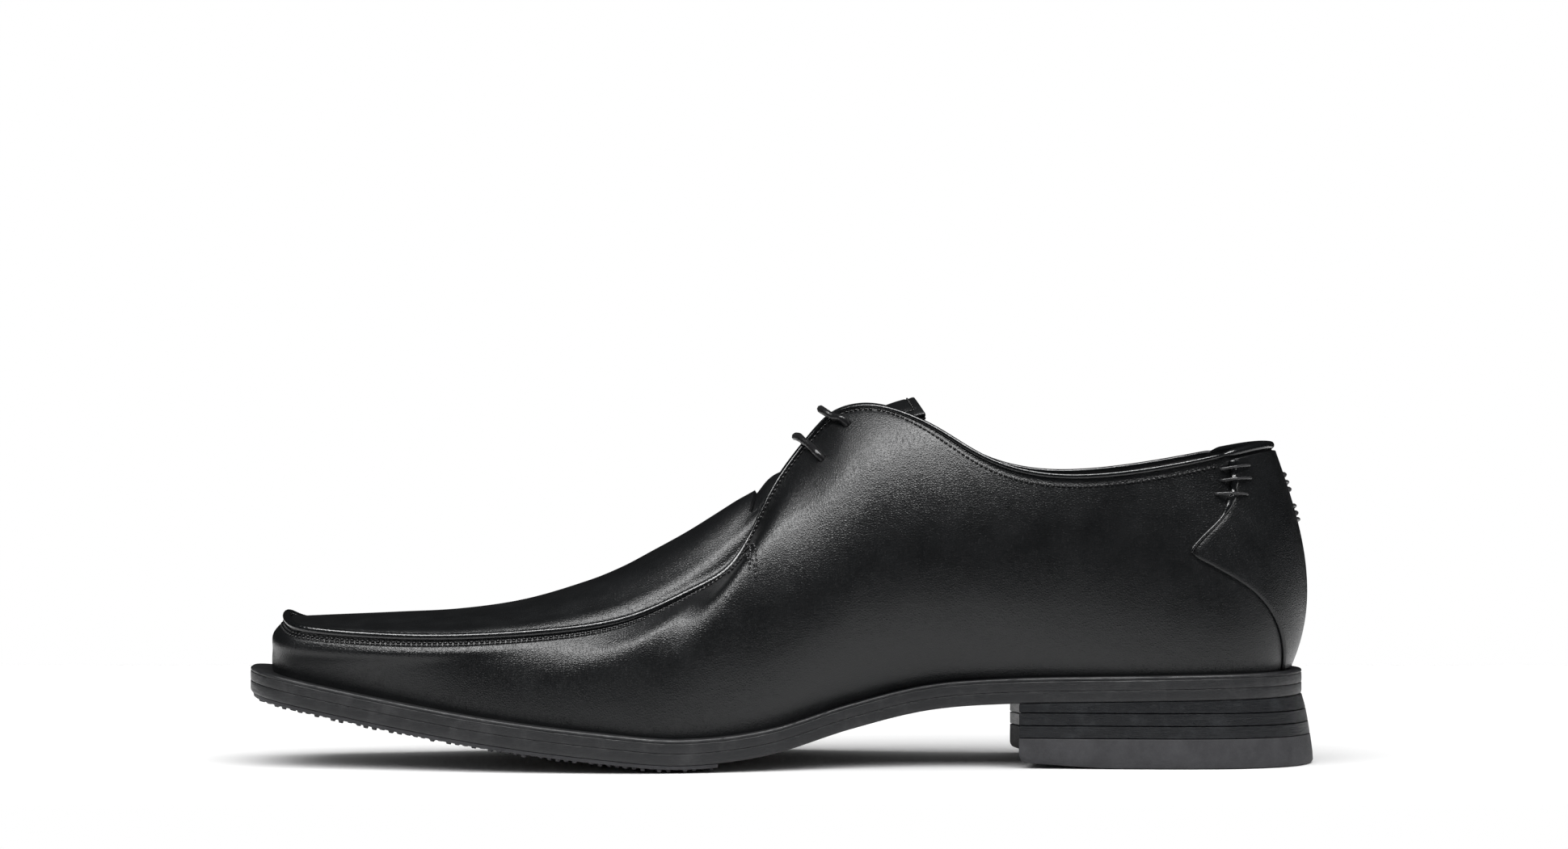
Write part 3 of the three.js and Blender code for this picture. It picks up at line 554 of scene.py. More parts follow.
def addSideWall():
    s = np.arange(loopLength * wallShape["columns"]) / wallShape["columns"]
    chord = chordOf(s)
    drops = list(np.linspace(0.35, wallShape["edgeDepth"], wallShape["edgeRows"]))
    outer = [wall(s, 1 - d / chord, wallRelief(s, np.full(len(s), d))) for d in drops]
    for k in range(1, wallShape["lowerRows"] + 1):
        t = (1 - wallShape["edgeDepth"] / chord) * (1 - k / wallShape["lowerRows"])
        outer.append(wall(s, t, wallRelief(s, (1 - t) * chord)))
    inset = keyed(last["footInset"], rowOf(s))
    outer.append(soleInset(s, inset + 0.1, -0.5))
    inner = [soleInset(s, inset + 1.5, -0.5)]
    for f in np.linspace(0.06, 1, 9):
        inner.append(wall(s, f * (1 - 0.35 / chord), wallShape["thickness"]))
    obj = gridPiece("upperWall", np.stack(outer + inner), blackCalf, wrapAcross=True, wrapAlong=True)
    smoothShade(obj, 50)
    return obj


def cutLaceHoles(*pieces):
    cutters = []
    for s, drop in holePlaces:
        s = np.array([s])
        t = 1 - drop / chordOf(s)
        start, end = wall(s, t, -3.0)[0], wall(s, t, 6.0)[0]
        deselectAll()
        bpy.ops.mesh.primitive_cylinder_add(vertices=24, radius=wallShape["holeRadius"] * mm, depth=9 * mm)
        cutter = bpy.context.object
        direction = end - start
        turn = turnTowards(direction)
        middle = (start + end) / 2 * mm
        for v in cutter.data.vertices:
            v.co = turn @ v.co
            v.co.x += middle[0]
            v.co.y += middle[1]
            v.co.z += middle[2]
        cutters.append(cutter)
    for piece in pieces:
        for cutter in cutters:
            applyModifier(piece, "BOOLEAN", object=cutter, operation="DIFFERENCE", solver="EXACT")
    for cutter in cutters:
        bpy.data.objects.remove(cutter)


def turnTowards(direction):
    return Vector(direction).to_track_quat("Z", "Y").to_matrix()


upperWall = addSideWall()
print("side wall ready", len(upperWall.data.vertices))

# lining of the quarters and vamp
liningShape = {"depth": 1.3, "thickness": 0.9, "rows": 22, "start": 0.75, "foot": 5.0, "perStation": 8,
               "counterEnd": (6.6, 8.2), "puffStart": (17.2, 18.6), "stiffTop": (0.8, 0.94), "clear": 0.2}


def addLining():
    s = np.arange(loopLength * liningShape["perStation"]) / liningShape["perStation"]
    chord = chordOf(s)
    low = liningShape["foot"] / chord
    rows = []
    for f in np.linspace(0, 1, liningShape["rows"]):
        t = 1 - liningShape["start"] / chord - f * (1 - liningShape["start"] / chord - low)
        counter = 1 - smoothstep(*liningShape["counterEnd"], rowOf(s))
        stiff = np.maximum(counter, smoothstep(*liningShape["puffStart"], rowOf(s)))
        stiff = stiff * (1 - smoothstep(*liningShape["stiffTop"], t))
        stiff = stiff * (layer["stiffener"] + liningShape["clear"])
        rows.append((t, liningShape["depth"] + stiff))
    outer = [wall(s, t, d) for t, d in rows]
    inner = [wall(s, t, d + liningShape["thickness"]) for t, d in rows[::-1]]
    obj = gridPiece("quarterLining", np.stack(outer + inner), blackLining, wrapAcross=True, wrapAlong=True)
    smoothShade(obj, 50)
    return obj


quarterLining = addLining()
cutLaceHoles(upperWall, quarterLining)
place(upperWall, "upper_leather", "side_wall")
place(quarterLining, "lining", "quarter_lining")
print("lining and lace holes ready")

# apron over the toes, with a shallow groove and a swell beside the seam
apronShape = {"rows": 110, "columns": 72, "thickness": 1.3, "bow": 5.0, "groove": 0.35, "grooveAt": 1.5,
              "grooveWidth": 0.8, "swell": 0.4, "swellAt": 4.5, "swellWidth": 2.2, "wings": 0.13,
              "skive": 0.35, "length": 132, "crowding": 1.35, "crown": 2.2}
underApron = {"rows": 40, "columns": 24, "along": (0.03, 0.93), "half": 0.86, "depth": 1.7}
seamStations = {"throat": 14, "corner": 20.5}


def apronSurface(p, q):
    p, q = np.broadcast_arrays(np.asarray(p, float), np.asarray(q, float))
    corner, throat = seamStations["corner"], seamStations["throat"]
    s = corner + (throat - corner) * p
    inner, outer = topLine(s), topLine(loopLength - s)
    f = ((q + 1) / 2)[..., None]
    left, right = topLine(np.array(corner)), topLine(np.array(loopLength - corner))
    front = topLine(corner + (loopLength - 2 * corner) * f[..., 0])
    bow = (front - (left * (1 - f) + right * f)) * ((1 - p) ** 2)[..., None]
    point = inner * (1 - f) + outer * f + bow
    point[..., 0] += apronShape["bow"] * (1 - q * q) * p ** 4
    middle = (topLine(s) + outer) / 2
    tip = topLine(np.array(float(toe)))
    frontRise = (tip[2] - (left[2] + right[2]) / 2) * (1 - p) ** 2
    middleX = middle[..., 0] + apronShape["bow"] * p ** 4 + (tip[0] - (left[0] + right[0]) / 2) * (1 - p) ** 2
    rise = keyed(last["apronRidge"], last["heelCentre"] - middleX) - middle[..., 2] - frontRise
    point[..., 2] += rise * (1 - np.abs(q) ** apronShape["crown"])
    return point


def addApron():
    p = np.linspace(0.004, 1, apronShape["rows"])
    u = np.linspace(-1, 1, apronShape["columns"])
    q = np.sign(u) * (1 - (1 - np.abs(u)) ** apronShape["crowding"])   # columns close up towards the seam
    p, q = np.meshgrid(p, q, indexing="ij")
    p = p * (1 + apronShape["wings"] * smoothstep(0.55, 0.95, np.abs(q)))   # runs on under the facings
    corner, throat = seamStations["corner"], seamStations["throat"]
    s = corner + (throat - corner) * p
    half = np.linalg.norm(topLine(s) - topLine(loopLength - s), axis=-1) / 2
    sideDrop = (1 - np.abs(q)) * half
    drop = np.minimum(sideDrop, p * apronShape["length"] + 0.2)
    relief = apronShape["groove"] * np.exp(-((drop - apronShape["grooveAt"]) / apronShape["grooveWidth"]) ** 2)
    swell = apronShape["swell"] * np.exp(-((drop - apronShape["swellAt"]) / apronShape["swellWidth"]) ** 2)
    skive = apronShape["skive"] * smoothstep(0.93, 1, p) * (1 - smoothstep(0.6, 0.9, np.abs(q)))
    points = apronSurface(p, q) - normalOf(apronSurface, p, q) * (relief - swell + skive)[..., None]
    obj = gridPiece("apronTop", points, blackCalf)
    thicken(obj, apronShape["thickness"])
    smoothShade(obj, 50)
    return obj


apron = addApron()
place(apron, "upper_leather", "apron")
print("apron ready")


def addUnderApron():
    p = np.linspace(*underApron["along"], underApron["rows"])
    q = np.linspace(-underApron["half"], underApron["half"], underApron["columns"])
    p, q = np.meshgrid(p, q, indexing="ij")
    points = apronSurface(p, q) - normalOf(apronSurface, p, q) * underApron["depth"]
    obj = gridPiece("apronLiningSkin", points, blackLining)
    thicken(obj, layer["lining"])
    smoothShade(obj)
    return obj


place(addUnderApron(), "lining", "apron_lining")

# seam ridge, topline beads and heel tab
# radii in millimetres; ends and spans in stations
rollShape = {"ridge": 1.15, "bead": 0.8, "tab": 1.2, "pucker": 0.035, "pitch": 1.55, "ridgeEnd": 12.3,
             "beadSpan": (2.6, 14.4), "tabEnd": 2.85}


def addRoll(name, start, end, radius, lift=0.0, pucker=0.0, perStation=14, taper=5):
    s = np.linspace(start, end, int(abs(end - start) * perStation) + 1)
    out = outward(s)
    path = topLine(s) + np.array([0, 0, lift])
    ups = np.repeat(np.array([[0, 0, 1.0]]), len(s), 0) + out * 0.4
    travelled = travelledAlong(path)
    profile = radius * (1 + pucker * np.sin(2 * math.pi * travelled / rollShape["pitch"]))
    ends = np.minimum(travelled, travelled[-1] - travelled)
    profile = profile * (0.25 + 0.75 * smoothstep(0, taper, ends))
    return tube(name, path, unit(ups), radius, rolledCalf, sides=14, profile=profile)


ridge = addRoll("seamRidge", rollShape["ridgeEnd"], loopLength - rollShape["ridgeEnd"], rollShape["ridge"],
                lift=-0.1, pucker=rollShape["pucker"], perStation=28, taper=34)
place(ridge, "upper_leather", "apron_seam")
beadFrom, beadTo = rollShape["beadSpan"]
beadIn = addRoll("toplineBeadInner", beadFrom, beadTo, rollShape["bead"], lift=0.05)
beadOut = addRoll("toplineBeadOuter", loopLength - beadTo, loopLength - beadFrom, rollShape["bead"], lift=0.05)
place(beadIn, "upper_leather", "topline_binding_inner")
place(beadOut, "upper_leather", "topline_binding_outer")
tab = addRoll("heelTabRoll", -rollShape["tabEnd"], rollShape["tabEnd"], rollShape["tab"], lift=0.1,
              perStation=20)
place(tab, "upper_leather", "heel_tab")
print("ridge and beads ready")

# stitch rows on the upper
# drops in millimetres below the top line, spans in stations
rowDrops = {"seam": (1.95, 2.95), "facing": 1.35, "topline": 2.7, "seamEnd": 14.35, "facingSpan": (9.0, 13.75),
            "toplineSpan": (2.95, 8.9), "meet": (6.8, 8.8)}


def stitchAlong(name, s, drop, lift=0.06, **values):
    t = 1 - drop / chordOf(s)
    return stitchLine(name, onWall(s, t, lift), -normalOf(wallSurface, s, t), seamThread, **values)


def stitchLine(name, path, normals, material, pitch=None, length=None, radius=None):
    pitch = pitch or stitchShape["pitch"]
    count = max(1, int(pathLength(path) / pitch))
    centres = resampled(path, count * 2 + 1)
    turned = resampledLike(path, normals, count * 2 + 1)
    along = unit(np.gradient(centres, axis=0))
    return stitchMesh(name, centres[1::2], along[1::2], unit(turned[1::2]), material, length, radius)


for index, drop in enumerate(rowDrops["seam"]):
    s = np.linspace(rowDrops["seamEnd"], loopLength - rowDrops["seamEnd"], 900)
    place(stitchAlong("seamStitches" + str(index + 1), s, drop), "upper_leather")
for side, flip in (("Inner", False), ("Outer", True)):
    s = np.linspace(*rowDrops["facingSpan"], 300)
    facing = stitchAlong("facingStitches" + side, loopLength - s if flip else s, rowDrops["facing"])
    place(facing, "upper_leather")
    s = np.linspace(*rowDrops["toplineSpan"], 400)
    drop = rowDrops["topline"] + (rowDrops["facing"] - rowDrops["topline"]) * smoothstep(*rowDrops["meet"], s)
    place(stitchAlong("toplineStitches" + side, loopLength - s if flip else s, drop), "upper_leather")


def wallLine(a, b, count=60):
    f = np.linspace(0, 1, count)
    return a[0] + (b[0] - a[0]) * f, a[1] + (b[1] - a[1]) * f


def triangleRows(flip):
    side = "Outer" if flip else "Inner"
    for rowIndex, (top, low, end) in enumerate((triangleAt["outer"], triangleAt["inner"])):
        for lineIndex, (start, stop) in enumerate(((top, low), (low, end))):
            s, t = wallLine(start, stop)
            s = loopLength - s if flip else s
            obj = stitchLine("throatStitches" + side + str(2 * rowIndex + lineIndex + 1),
                             onWall(s, t, triangleAt["lift"]),
                             -normalOf(wallSurface, s, t), glossyThreadPaintedGlint, length=triangleAt["length"],
                             radius=triangleAt["radius"])
            place(obj, "upper_leather")


triangleRows(False)
triangleRows(True)
print("stitches ready")

# heel overlay: a pointed piece wrapped round the back of the heel
overlayShape = {
    "reach": [(0, 1.3), (0.2, 1.85), (0.35, 2.37), (0.5, 3.08), (0.575, 3.37), (0.64, 3.24), (0.74, 2.85),
              (0.85, 2.62), (1, 2.6)],
    "low": 0.002, "high": 0.975, "rows": 90, "columns": 84, "top": 0.95, "thickness": 0.9, "bevel": 0.3,
    "roundEdge": 0.5,
}


def addOverlay():
    t = np.linspace(overlayShape["low"], overlayShape["high"], overlayShape["rows"])
    u = np.linspace(-1, 1, overlayShape["columns"])
    t, u = np.meshgrid(t, u, indexing="ij")
    reach = keyed(overlayShape["reach"], t)
    s = u * reach
    fromEdge = (1 - np.abs(u)) * reach * 13
    lift = overlayShape["top"] - overlayShape["roundEdge"] * np.exp(-(fromEdge / 0.6) ** 2)
    seam = 0.3 * np.exp(-((s * 13) / 0.7) ** 2)                      # the seam down the middle of the back
    points = wall(s, t, seam - lift)
    obj = gridPiece("heelOverlay", points, blackCalf)
    thicken(obj, overlayShape["thickness"], overlayShape["bevel"], 2)
    smoothShade(obj, 50)
    return obj


place(addOverlay(), "upper_leather", "heel_overlay")


def overlayEdge(low, high, count, side, aside=0.0):
    t = np.linspace(low, high, count)
    s = keyed(overlayShape["reach"], t) + aside
    return (s if side > 0 else -s), t


# twisted cord in the overlay's seam, with coarse hand stitches over its top
handSeam = {"cordLow": 0.585, "cordHigh": 0.965, "thin": 0.45, "thick": 1.2, "thickFrom": (0.76, 0.81),
            "beads": 5.2, "beadFrom": (0.78, 0.84), "beadDepth": 0.22, "steps": 200, "barRadius": 0.42,
            "barLift": 2.2}
backBar = {"half": 0.3, "radius": 0.6, "lift": 1.45}
handBars = [((2.86, 0.943), (2.12, 0.93)), ((2.86, 0.893), (2.14, 0.873)), ((2.98, 0.838), (2.3, 0.806))]
backBars = [0.865, 0.83, 0.80, 0.725, 0.695, 0.665]


def threadBar(name, start, end, radius, lift):
    f = np.linspace(0, 1, 25)
    s = start[0] + (end[0] - start[0]) * f
    t = start[1] + (end[1] - start[1]) * f
    raised = lift * np.sin(math.pi * f) ** 0.45
    path = wall(s, t, 0.25 - raised)
    profile = radius * (1 + 0.1 * np.sin(f * 2 * math.pi * 6))
    return tube(name, path, -normalOf(wallSurface, s, t), radius, glossyThreadPaintedGlint, sides=10, profile=profile)


def addHandSeam(side, label):
    s, t = overlayEdge(handSeam["cordLow"], handSeam["cordHigh"], 220, side, 0.02)
    path = wall(s, t, -0.75)
    steps = handSeam["steps"]
    path = resampled(path, steps)
    ups = np.repeat(-normalOf(wallSurface, s, t)[:1], steps, 0)
    f = np.linspace(handSeam["cordLow"], handSeam["cordHigh"], steps)
    body = handSeam["thin"] + (handSeam["thick"] - handSeam["thin"]) * smoothstep(*handSeam["thickFrom"], f)
    travelled = np.linspace(0, pathLength(path), steps)
    swelling = handSeam["beadDepth"] * smoothstep(*handSeam["beadFrom"], f)
    beads = 1 + swelling * np.sin(travelled * 2 * math.pi / handSeam["beads"] + 1.2)
    cord = tube("overlaySeamCord" + label, path, ups, 1.0, rolledCalf, sides=12, profile=body * beads * 0.92)
    place(cord, "upper_leather")
    for index, (start, end) in enumerate(handBars):
        ends = [(a if side > 0 else -a, b) for a, b in (start, end)]
        bar = threadBar("handStitch" + label + str(index + 1), ends[0], ends[1], handSeam["barRadius"],
                        handSeam["barLift"])
        place(bar, "upper_leather")


addHandSeam(1, "Inner")
addHandSeam(-1, "Outer")
for index, t in enumerate(backBars):
    tilt = 0.008 if index % 2 else -0.006
    bar = threadBar("backStitch" + str(index + 1), (-backBar["half"], t - tilt),
                    (backBar["half"], t + tilt), backBar["radius"], backBar["lift"])
    place(bar, "upper_leather")
print("heel overlay ready")

# tongue, which folds down into the shoe: two layers, with a row of stitches near the edge
tongueShape = {
    "ridge": [(114, 108.6), (120, 107.9), (128, 105.4), (135, 102), (141, 98.3), (147.5, 93.6), (154.5, 87.8),
              (159, 84.2), (162.5, 81.2), (165.5, 78.4), (169, 76.4)],
    "halfWidth": [(118, 14.5), (124, 15.4), (130, 14.2), (137, 12.2), (150, 12.2), (160, 13.2), (169, 15)],
    "curve": [(118, 0.022), (130, 0.019), (141, 0.021), (150, 0.025), (160, 0.032), (169, 0.036)],
    "tip": 118.5, "root": 168.2, "sweep": 3.0, "leather": 1.4, "lining": 1.0, "fullness": 2.0,
}


def tongueSurface(a, q):
    a, q = np.broadcast_arrays(np.asarray(a, float), np.asarray(q, float))
    fromBack = tongueShape["root"] + (tongueShape["tip"] - tongueShape["root"]) * a
    side = q * keyed(tongueShape["halfWidth"], fromBack)
    sweep = tongueShape["sweep"] * np.abs(q) ** 2 * smoothstep(0.8, 1, a)
    height = keyed(tongueShape["ridge"], fromBack) - keyed(tongueShape["curve"], fromBack) * side * side
    height = height + tongueShape["fullness"] * (1 - q * q) * np.exp(-((fromBack - 161.5) / 4.5) ** 2)
    return np.stack([last["heelCentre"] - fromBack + sweep, side, height], -1)


def addTongueLayer(name, depth, thickness, root, material):
    a, q = np.meshgrid(np.linspace(root, 1, 64), np.linspace(-1, 1, 40), indexing="ij")
    rim = np.minimum((1 - a) * 52, (1 - np.abs(q)) * 13)
    pinch = 0.3 * np.exp(-((rim - 2.2) / 0.6) ** 2)
    sign = 1 if depth == 0 else 0
    points = tongueSurface(a, q) - normalOf(tongueSurface, a, q) * (depth + sign * pinch)[..., None]
    obj = gridPiece(name, points, material)
    thicken(obj, thickness, 0.4, 3)
    smoothShade(obj, 50)
    return obj


place(addTongueLayer("tongueLeather", 0.0, tongueShape["leather"], 0.0, blackCalf), "upper_leather", "tongue",
      body="tongue")
place(addTongueLayer("tongueBacking", tongueShape["leather"] + 0.05, tongueShape["lining"], 0.02, blackLining),
      "lining", "tongue_lining", body="tongue")
rimA = np.concatenate([np.linspace(0.45, 0.955, 60), np.full(60, 0.955), np.linspace(0.955, 0.45, 60)])
rimQ = np.concatenate([np.full(60, -0.83), np.linspace(-0.83, 0.83, 60), np.full(60, 0.83)])
rimPath = tongueSurface(rimA, rimQ) + normalOf(tongueSurface, rimA, rimQ) * -0.22
place(stitchLine("tongueStitches", rimPath, normalOf(tongueSurface, rimA, rimQ), seamThread), "upper_leather",
      body="tongue")
print("tongue ready")

# sole: rounded edges, drawn as rings round the last
soleShape = {"columns": 10, "weltReach": 14.5, "rough": 0.05}


# section: pairs of inset from the sole edge and height over the welt's top
def soleRing(name, section, material, angle=35):
    s = np.arange(loopLength * soleShape["columns"]) / soleShape["columns"]
    rows = []
    for inset, lift in section:
        wobble = soleShape["rough"] * rng.standard_normal(len(s)) * 0.25
        rows.append(soleInset(s, inset + wobble, lift))
    obj = gridPiece(name, np.stack(rows), material, wrapAcross=True, wrapAlong=True)
    smoothShade(obj, angle)
    return obj


weltSection = [(soleShape["weltReach"], 0), (6, 0), (1.6, 0), (1.1, 0.02), (0.75, 0), (0.35, -0.08),
               (0.1, -0.3), (0, -0.6), (0.03, -0.85), (0.2, -1.0), (0.2, -1.15), (0.03, -1.3), (0, -1.6),
               (0, -2.6), (0, -3.6), (0.12, -3.9), (0.4, -3.97), (soleShape["weltReach"], -3.97)]
place(soleRing("weltRing", weltSection, weltEdge), "sole_edge", "welt")


def spanned(a, b, f):  # points from one side's line across to the other's
    return a[:, None] * (1 - f)[None, :, None] + b[:, None] * f[None, :, None]


# edge: pairs of inset and height round the rim, from the top to the underside
def solePlate(name, edge, start, end, material, columns=14, across=34, angle=35):
    count = int((end - start) * columns) + 1
    s = np.linspace(start, end, count)
    f = np.linspace(0, 1, across)
    grids = []
    for inset, lift in (edge[0], edge[-1]):
        a, b = soleInset(s, inset, 0), soleInset(loopLength - s, inset, 0)
        grid = spanned(a, b, f)
        grid[..., 2] = soleTop(grid[..., 0]) + lift
        grids.append(grid)
    rings = []
    for inset, lift in edge:
        a, b = soleInset(s, inset, lift), soleInset(loopLength - s, inset, lift)
        rings.append((a, b))
    top, bottom = grids
    left = [r[0] for r in rings]
    right = [r[1] for r in rings]
    section = [top[:, j] for j in range(across)] + right[1:-1]
    section += [bottom[:, j] for j in range(across - 1, -1, -1)] + left[1:-1][::-1]
    points = np.stack(section, 1)
    obj = gridPiece(name, points, material, wrapAcross=True)
    closeEnds(obj)
    smoothShade(obj, angle)
    return obj


def closeEnds(obj):
    activate(obj)
    bpy.ops.object.mode_set(mode="EDIT")
    bpy.ops.mesh.select_all(action="DESELECT")
    bpy.ops.mesh.select_mode(type="EDGE")
    bpy.ops.mesh.select_non_manifold(extend=False, use_boundary=True, use_wire=False, use_multi_face=False,
                                     use_non_contiguous=False, use_verts=False)
    bpy.ops.mesh.fill_holes(sides=0)
    bpy.ops.mesh.select_all(action="SELECT")
    bpy.ops.mesh.normals_make_consistent(inside=False)
    bpy.ops.object.mode_set(mode="OBJECT")


outsoleEdge = [(0.35, -3.98), (0.08, -4.05), (0, -4.3), (0, -5.2), (0, -6.4), (0.1, -6.95), (0.45, -7.35),
               (1.0, -7.42)]
place(solePlate("outsoleLayer", outsoleEdge, 0, toe, weltEdge), "sole_edge", "outsole")

# forefoot tread: a rubber half sole with rows of small studs
treadShape = {"start": 12, "margin": 0.9, "pitch": 2.45, "stud": 0.86, "studHeight": 0.95, "worn": 0.34,
              "sides": 8, "outlineSteps": 400, "reach": 56, "root": 8.6, "uneven": 0.05, "taper": 0.72,
              "least": 0.35}
treadEdge = [(treadShape["margin"], -7.4), (treadShape["margin"] - 0.15, -7.6), (treadShape["margin"], -8.45),
             (treadShape["margin"] + 0.3, -8.65)]
treadBase = solePlate("treadBase", treadEdge, treadShape["start"], toe, soleRubber)


def addStuds():
    deselectAll()
    bpy.ops.mesh.primitive_cone_add(vertices=treadShape["sides"], radius1=treadShape["stud"],
                                    radius2=treadShape["stud"] * treadShape["taper"], depth=1,
                                    end_fill_type="NGON")
    one = bpy.context.object
    unitCo = np.array([v.co[:] for v in one.data.vertices])
    faces = [tuple(p.vertices) for p in one.data.polygons]
    bpy.data.objects.remove(one)
    unitCo[:, 2] = -(unitCo[:, 2] + 0.5) * treadShape["studHeight"]
    s = np.linspace(treadShape["start"], loopLength - treadShape["start"], treadShape["outlineSteps"])
    ring = soleEdge(s)[:, :2] - outward(s)[:, :2] * (treadShape["margin"] + treadShape["stud"] + 0.1)
    xs = np.arange(ring[:, 0].min(), ring[:, 0].max(), treadShape["pitch"])
    centres = []
    for k, x in enumerate(xs):
        offset = treadShape["pitch"] / 2 if k % 2 else 0
        for y in np.arange(-treadShape["reach"], treadShape["reach"], treadShape["pitch"]) + offset:
            if insideLoop(ring, x, y):
                centres.append((x, y))
    centres = np.array(centres)
    centres = centres + rng.normal(0, treadShape["uneven"], centres.shape)
    height = soleTop(centres[:, 0]) - treadShape["root"]
    scale = 1 + rng.normal(0, treadShape["uneven"], len(centres))
    worn = 1 - np.abs(rng.normal(0, treadShape["worn"], len(centres))) * 2
    points = unitCo[None] * np.stack([scale, scale, np.clip(worn, treadShape["least"], 1)], -1)[:, None]
    points = points + np.concatenate([centres, height[:, None]], 1)[:, None]
    points[..., 2] = points[..., 2] + (soleTop(points[..., 0]) - soleTop(centres[:, 0])[:, None])
    turned = [tuple(reversed(face)) for face in faces]
    return fromCopies("treadStuds", points, turned, soleRubber, 30)


def insideLoop(ring, x, y):
    a, b = ring, np.roll(ring, -1, 0)
    crosses = (a[:, 1] > y) != (b[:, 1] > y)
    with np.errstate(divide="ignore", invalid="ignore"):
        at = a[:, 0] + (y - a[:, 1]) * (b[:, 0] - a[:, 0]) / (b[:, 1] - a[:, 1])
    return np.count_nonzero(crosses & (x < at)) % 2 == 1


treadStuds = addStuds()
place(treadBase, "rubber", "forefoot_tread")
place(treadStuds, "rubber")
print("sole ready")

# heel: three leather lifts and a rubber top piece
heelShape = {"breast": 5.4, "hollow": 4.0, "backFlare": 3.8, "sideFlare": 0.8, "topPiece": 8.8,
             "liftHeight": 3.4, "gap": 0.3, "cornerCut": 8.0, "spring": 1.9, "springLength": 30, "inset": 0.2}


def heelOutline(s, height, inset=0.0):
    out = outward(s)
    full = float(soleTop(np.array(0.0))) - 7.4
    drop = np.clip(1 - height / full, 0, 1)
    backShare = np.maximum(out[..., 0], 0) ** 2
    flare = heelShape["sideFlare"] + (heelShape["backFlare"] - heelShape["sideFlare"]) * backShare
    return soleEdge(s) + out * (drop ** 0.6 * flare - heelShape["inset"] - inset)[..., None]


# profile: pairs of inset and height rule, from the top to the bottom of the block
def heelBlock(name, profile, material, across=20, angle=35):
    breast = heelShape["breast"]
    s = np.linspace(0, breast, 92)
    f = np.linspace(0, 1, across)

    def grid(inset, heightAt):
        level = float(np.mean(heightAt(np.array(0.0))))
        a, b = heelOutline(s, level, inset), heelOutline(loopLength - s, level, inset)
        points = spanned(a, b, f)
        points[..., 0] += heelShape["hollow"] * 4 * f * (1 - f) * ((s / breast) ** 6)[:, None]
        points[..., 0] += inset * ((s / breast) ** 6)[:, None]
        points[..., 2] = heightAt(points[..., 0])
        return points

    grids = [grid(inset, heightAt) for inset, heightAt in profile]
    top, bottom = grids[0], grids[-1]
    section = [top[:, j] for j in range(across)] + [g[:, -1] for g in grids[1:-1]]
    section += [bottom[:, j] for j in range(across - 1, -1, -1)] + [g[:, 0] for g in grids[1:-1]][::-1]
    points = np.stack(section, 1)
    obj = gridPiece(name, points, material, wrapAcross=True)
    frontRows = [g[-1] for g in grids]
    front = gridPiece(name + "Front", np.stack(frontRows), material)
    activate(obj)
    front.select_set(True)
    bpy.ops.object.join()
    mergeClose(obj, 4e-6)
    smoothShade(obj, angle)
    return obj


def level(height):
    return lambda x: np.full(np.shape(x), float(height))


def under(drop):
    return lambda x: soleTop(x) + drop


def sprung(height):
    def at(x):
        flatEnd = last["heelCentre"] - 90 + heelShape["springLength"]
        part = np.clip((flatEnd - x) / heelShape["springLength"], 0, 1.2)
        return height + heelShape["spring"] * part ** 1.3
    return at


topHeight = heelShape["topPiece"]
liftNumbers = (1, 2, 3)
for number in liftNumbers:
    low = topHeight + (number - 1) * (heelShape["liftHeight"] + heelShape["gap"]) + 0.12
    high = low + heelShape["liftHeight"] + 0.16
    edge = 0.22
    if number == 3:
        profile = [(edge, under(-7.45)), (0, under(-7.6)), (0, level((low + high) / 2)),
                   (0, level(low + 0.15)), (edge, level(low))]
    else:
        profile = [(edge, level(high)), (0, level(high - 0.15)), (0, level(low + 0.15)), (edge, level(low))]
    lift = heelBlock("heelLift" + str(number), profile, stackEdge)
    place(lift, "heel_stack", "heel_lift_" + str(number))
topPieceProfile = [(0.25, level(topHeight)), (0, level(topHeight - 0.2)), (-0.05, level(topHeight - 3)),
                   (-0.05, level(3.2)), (0.1, sprung(1.0)), (0.5, sprung(0.3)), (1.3, sprung(0))]
topPiece = heelBlock("heelTopPiece", topPieceProfile, soleRubber)


def cutCorner(obj):
    corner = heelOutline(np.array([heelShape["breast"]]), 0)[0]
    size = heelShape["cornerCut"]
    deselectAll()
    bpy.ops.mesh.primitive_cone_add(vertices=3, radius1=1, radius2=0, depth=1, location=(0, 0, 0))
    wedge = bpy.context.object
    spots = [(corner[0] - 2, corner[1] - 2, -3), (corner[0] + size + 3, corner[1] - 2, -3),
             (corner[0] - 2, corner[1] + size + 3, -3), (corner[0] - 2, corner[1] - 2, topHeight - 1)]
    order = sorted(range(4), key=lambda i: wedge.data.vertices[i].co.z)
    for index, spot in zip(order, spots):
        wedge.data.vertices[index].co = [value * mm for value in spot]
    mergeClose(wedge)
    applyModifier(obj, "BOOLEAN", object=wedge, operation="DIFFERENCE", solver="EXACT")
    bpy.data.objects.remove(wedge)


cutCorner(topPiece)
place(topPiece, "rubber", "heel_top_piece")
print("heel ready")

# sock: the thin leather sheet that the foot stands on
sockEdge = [(9.6, 5.85), (9.3, 5.75), (9.2, 5.5), (9.2, 4.9), (9.6, 4.8)]
place(solePlate("sockSheet", sockEdge, 0, toe, blackLining), "lining", "sock_liner")

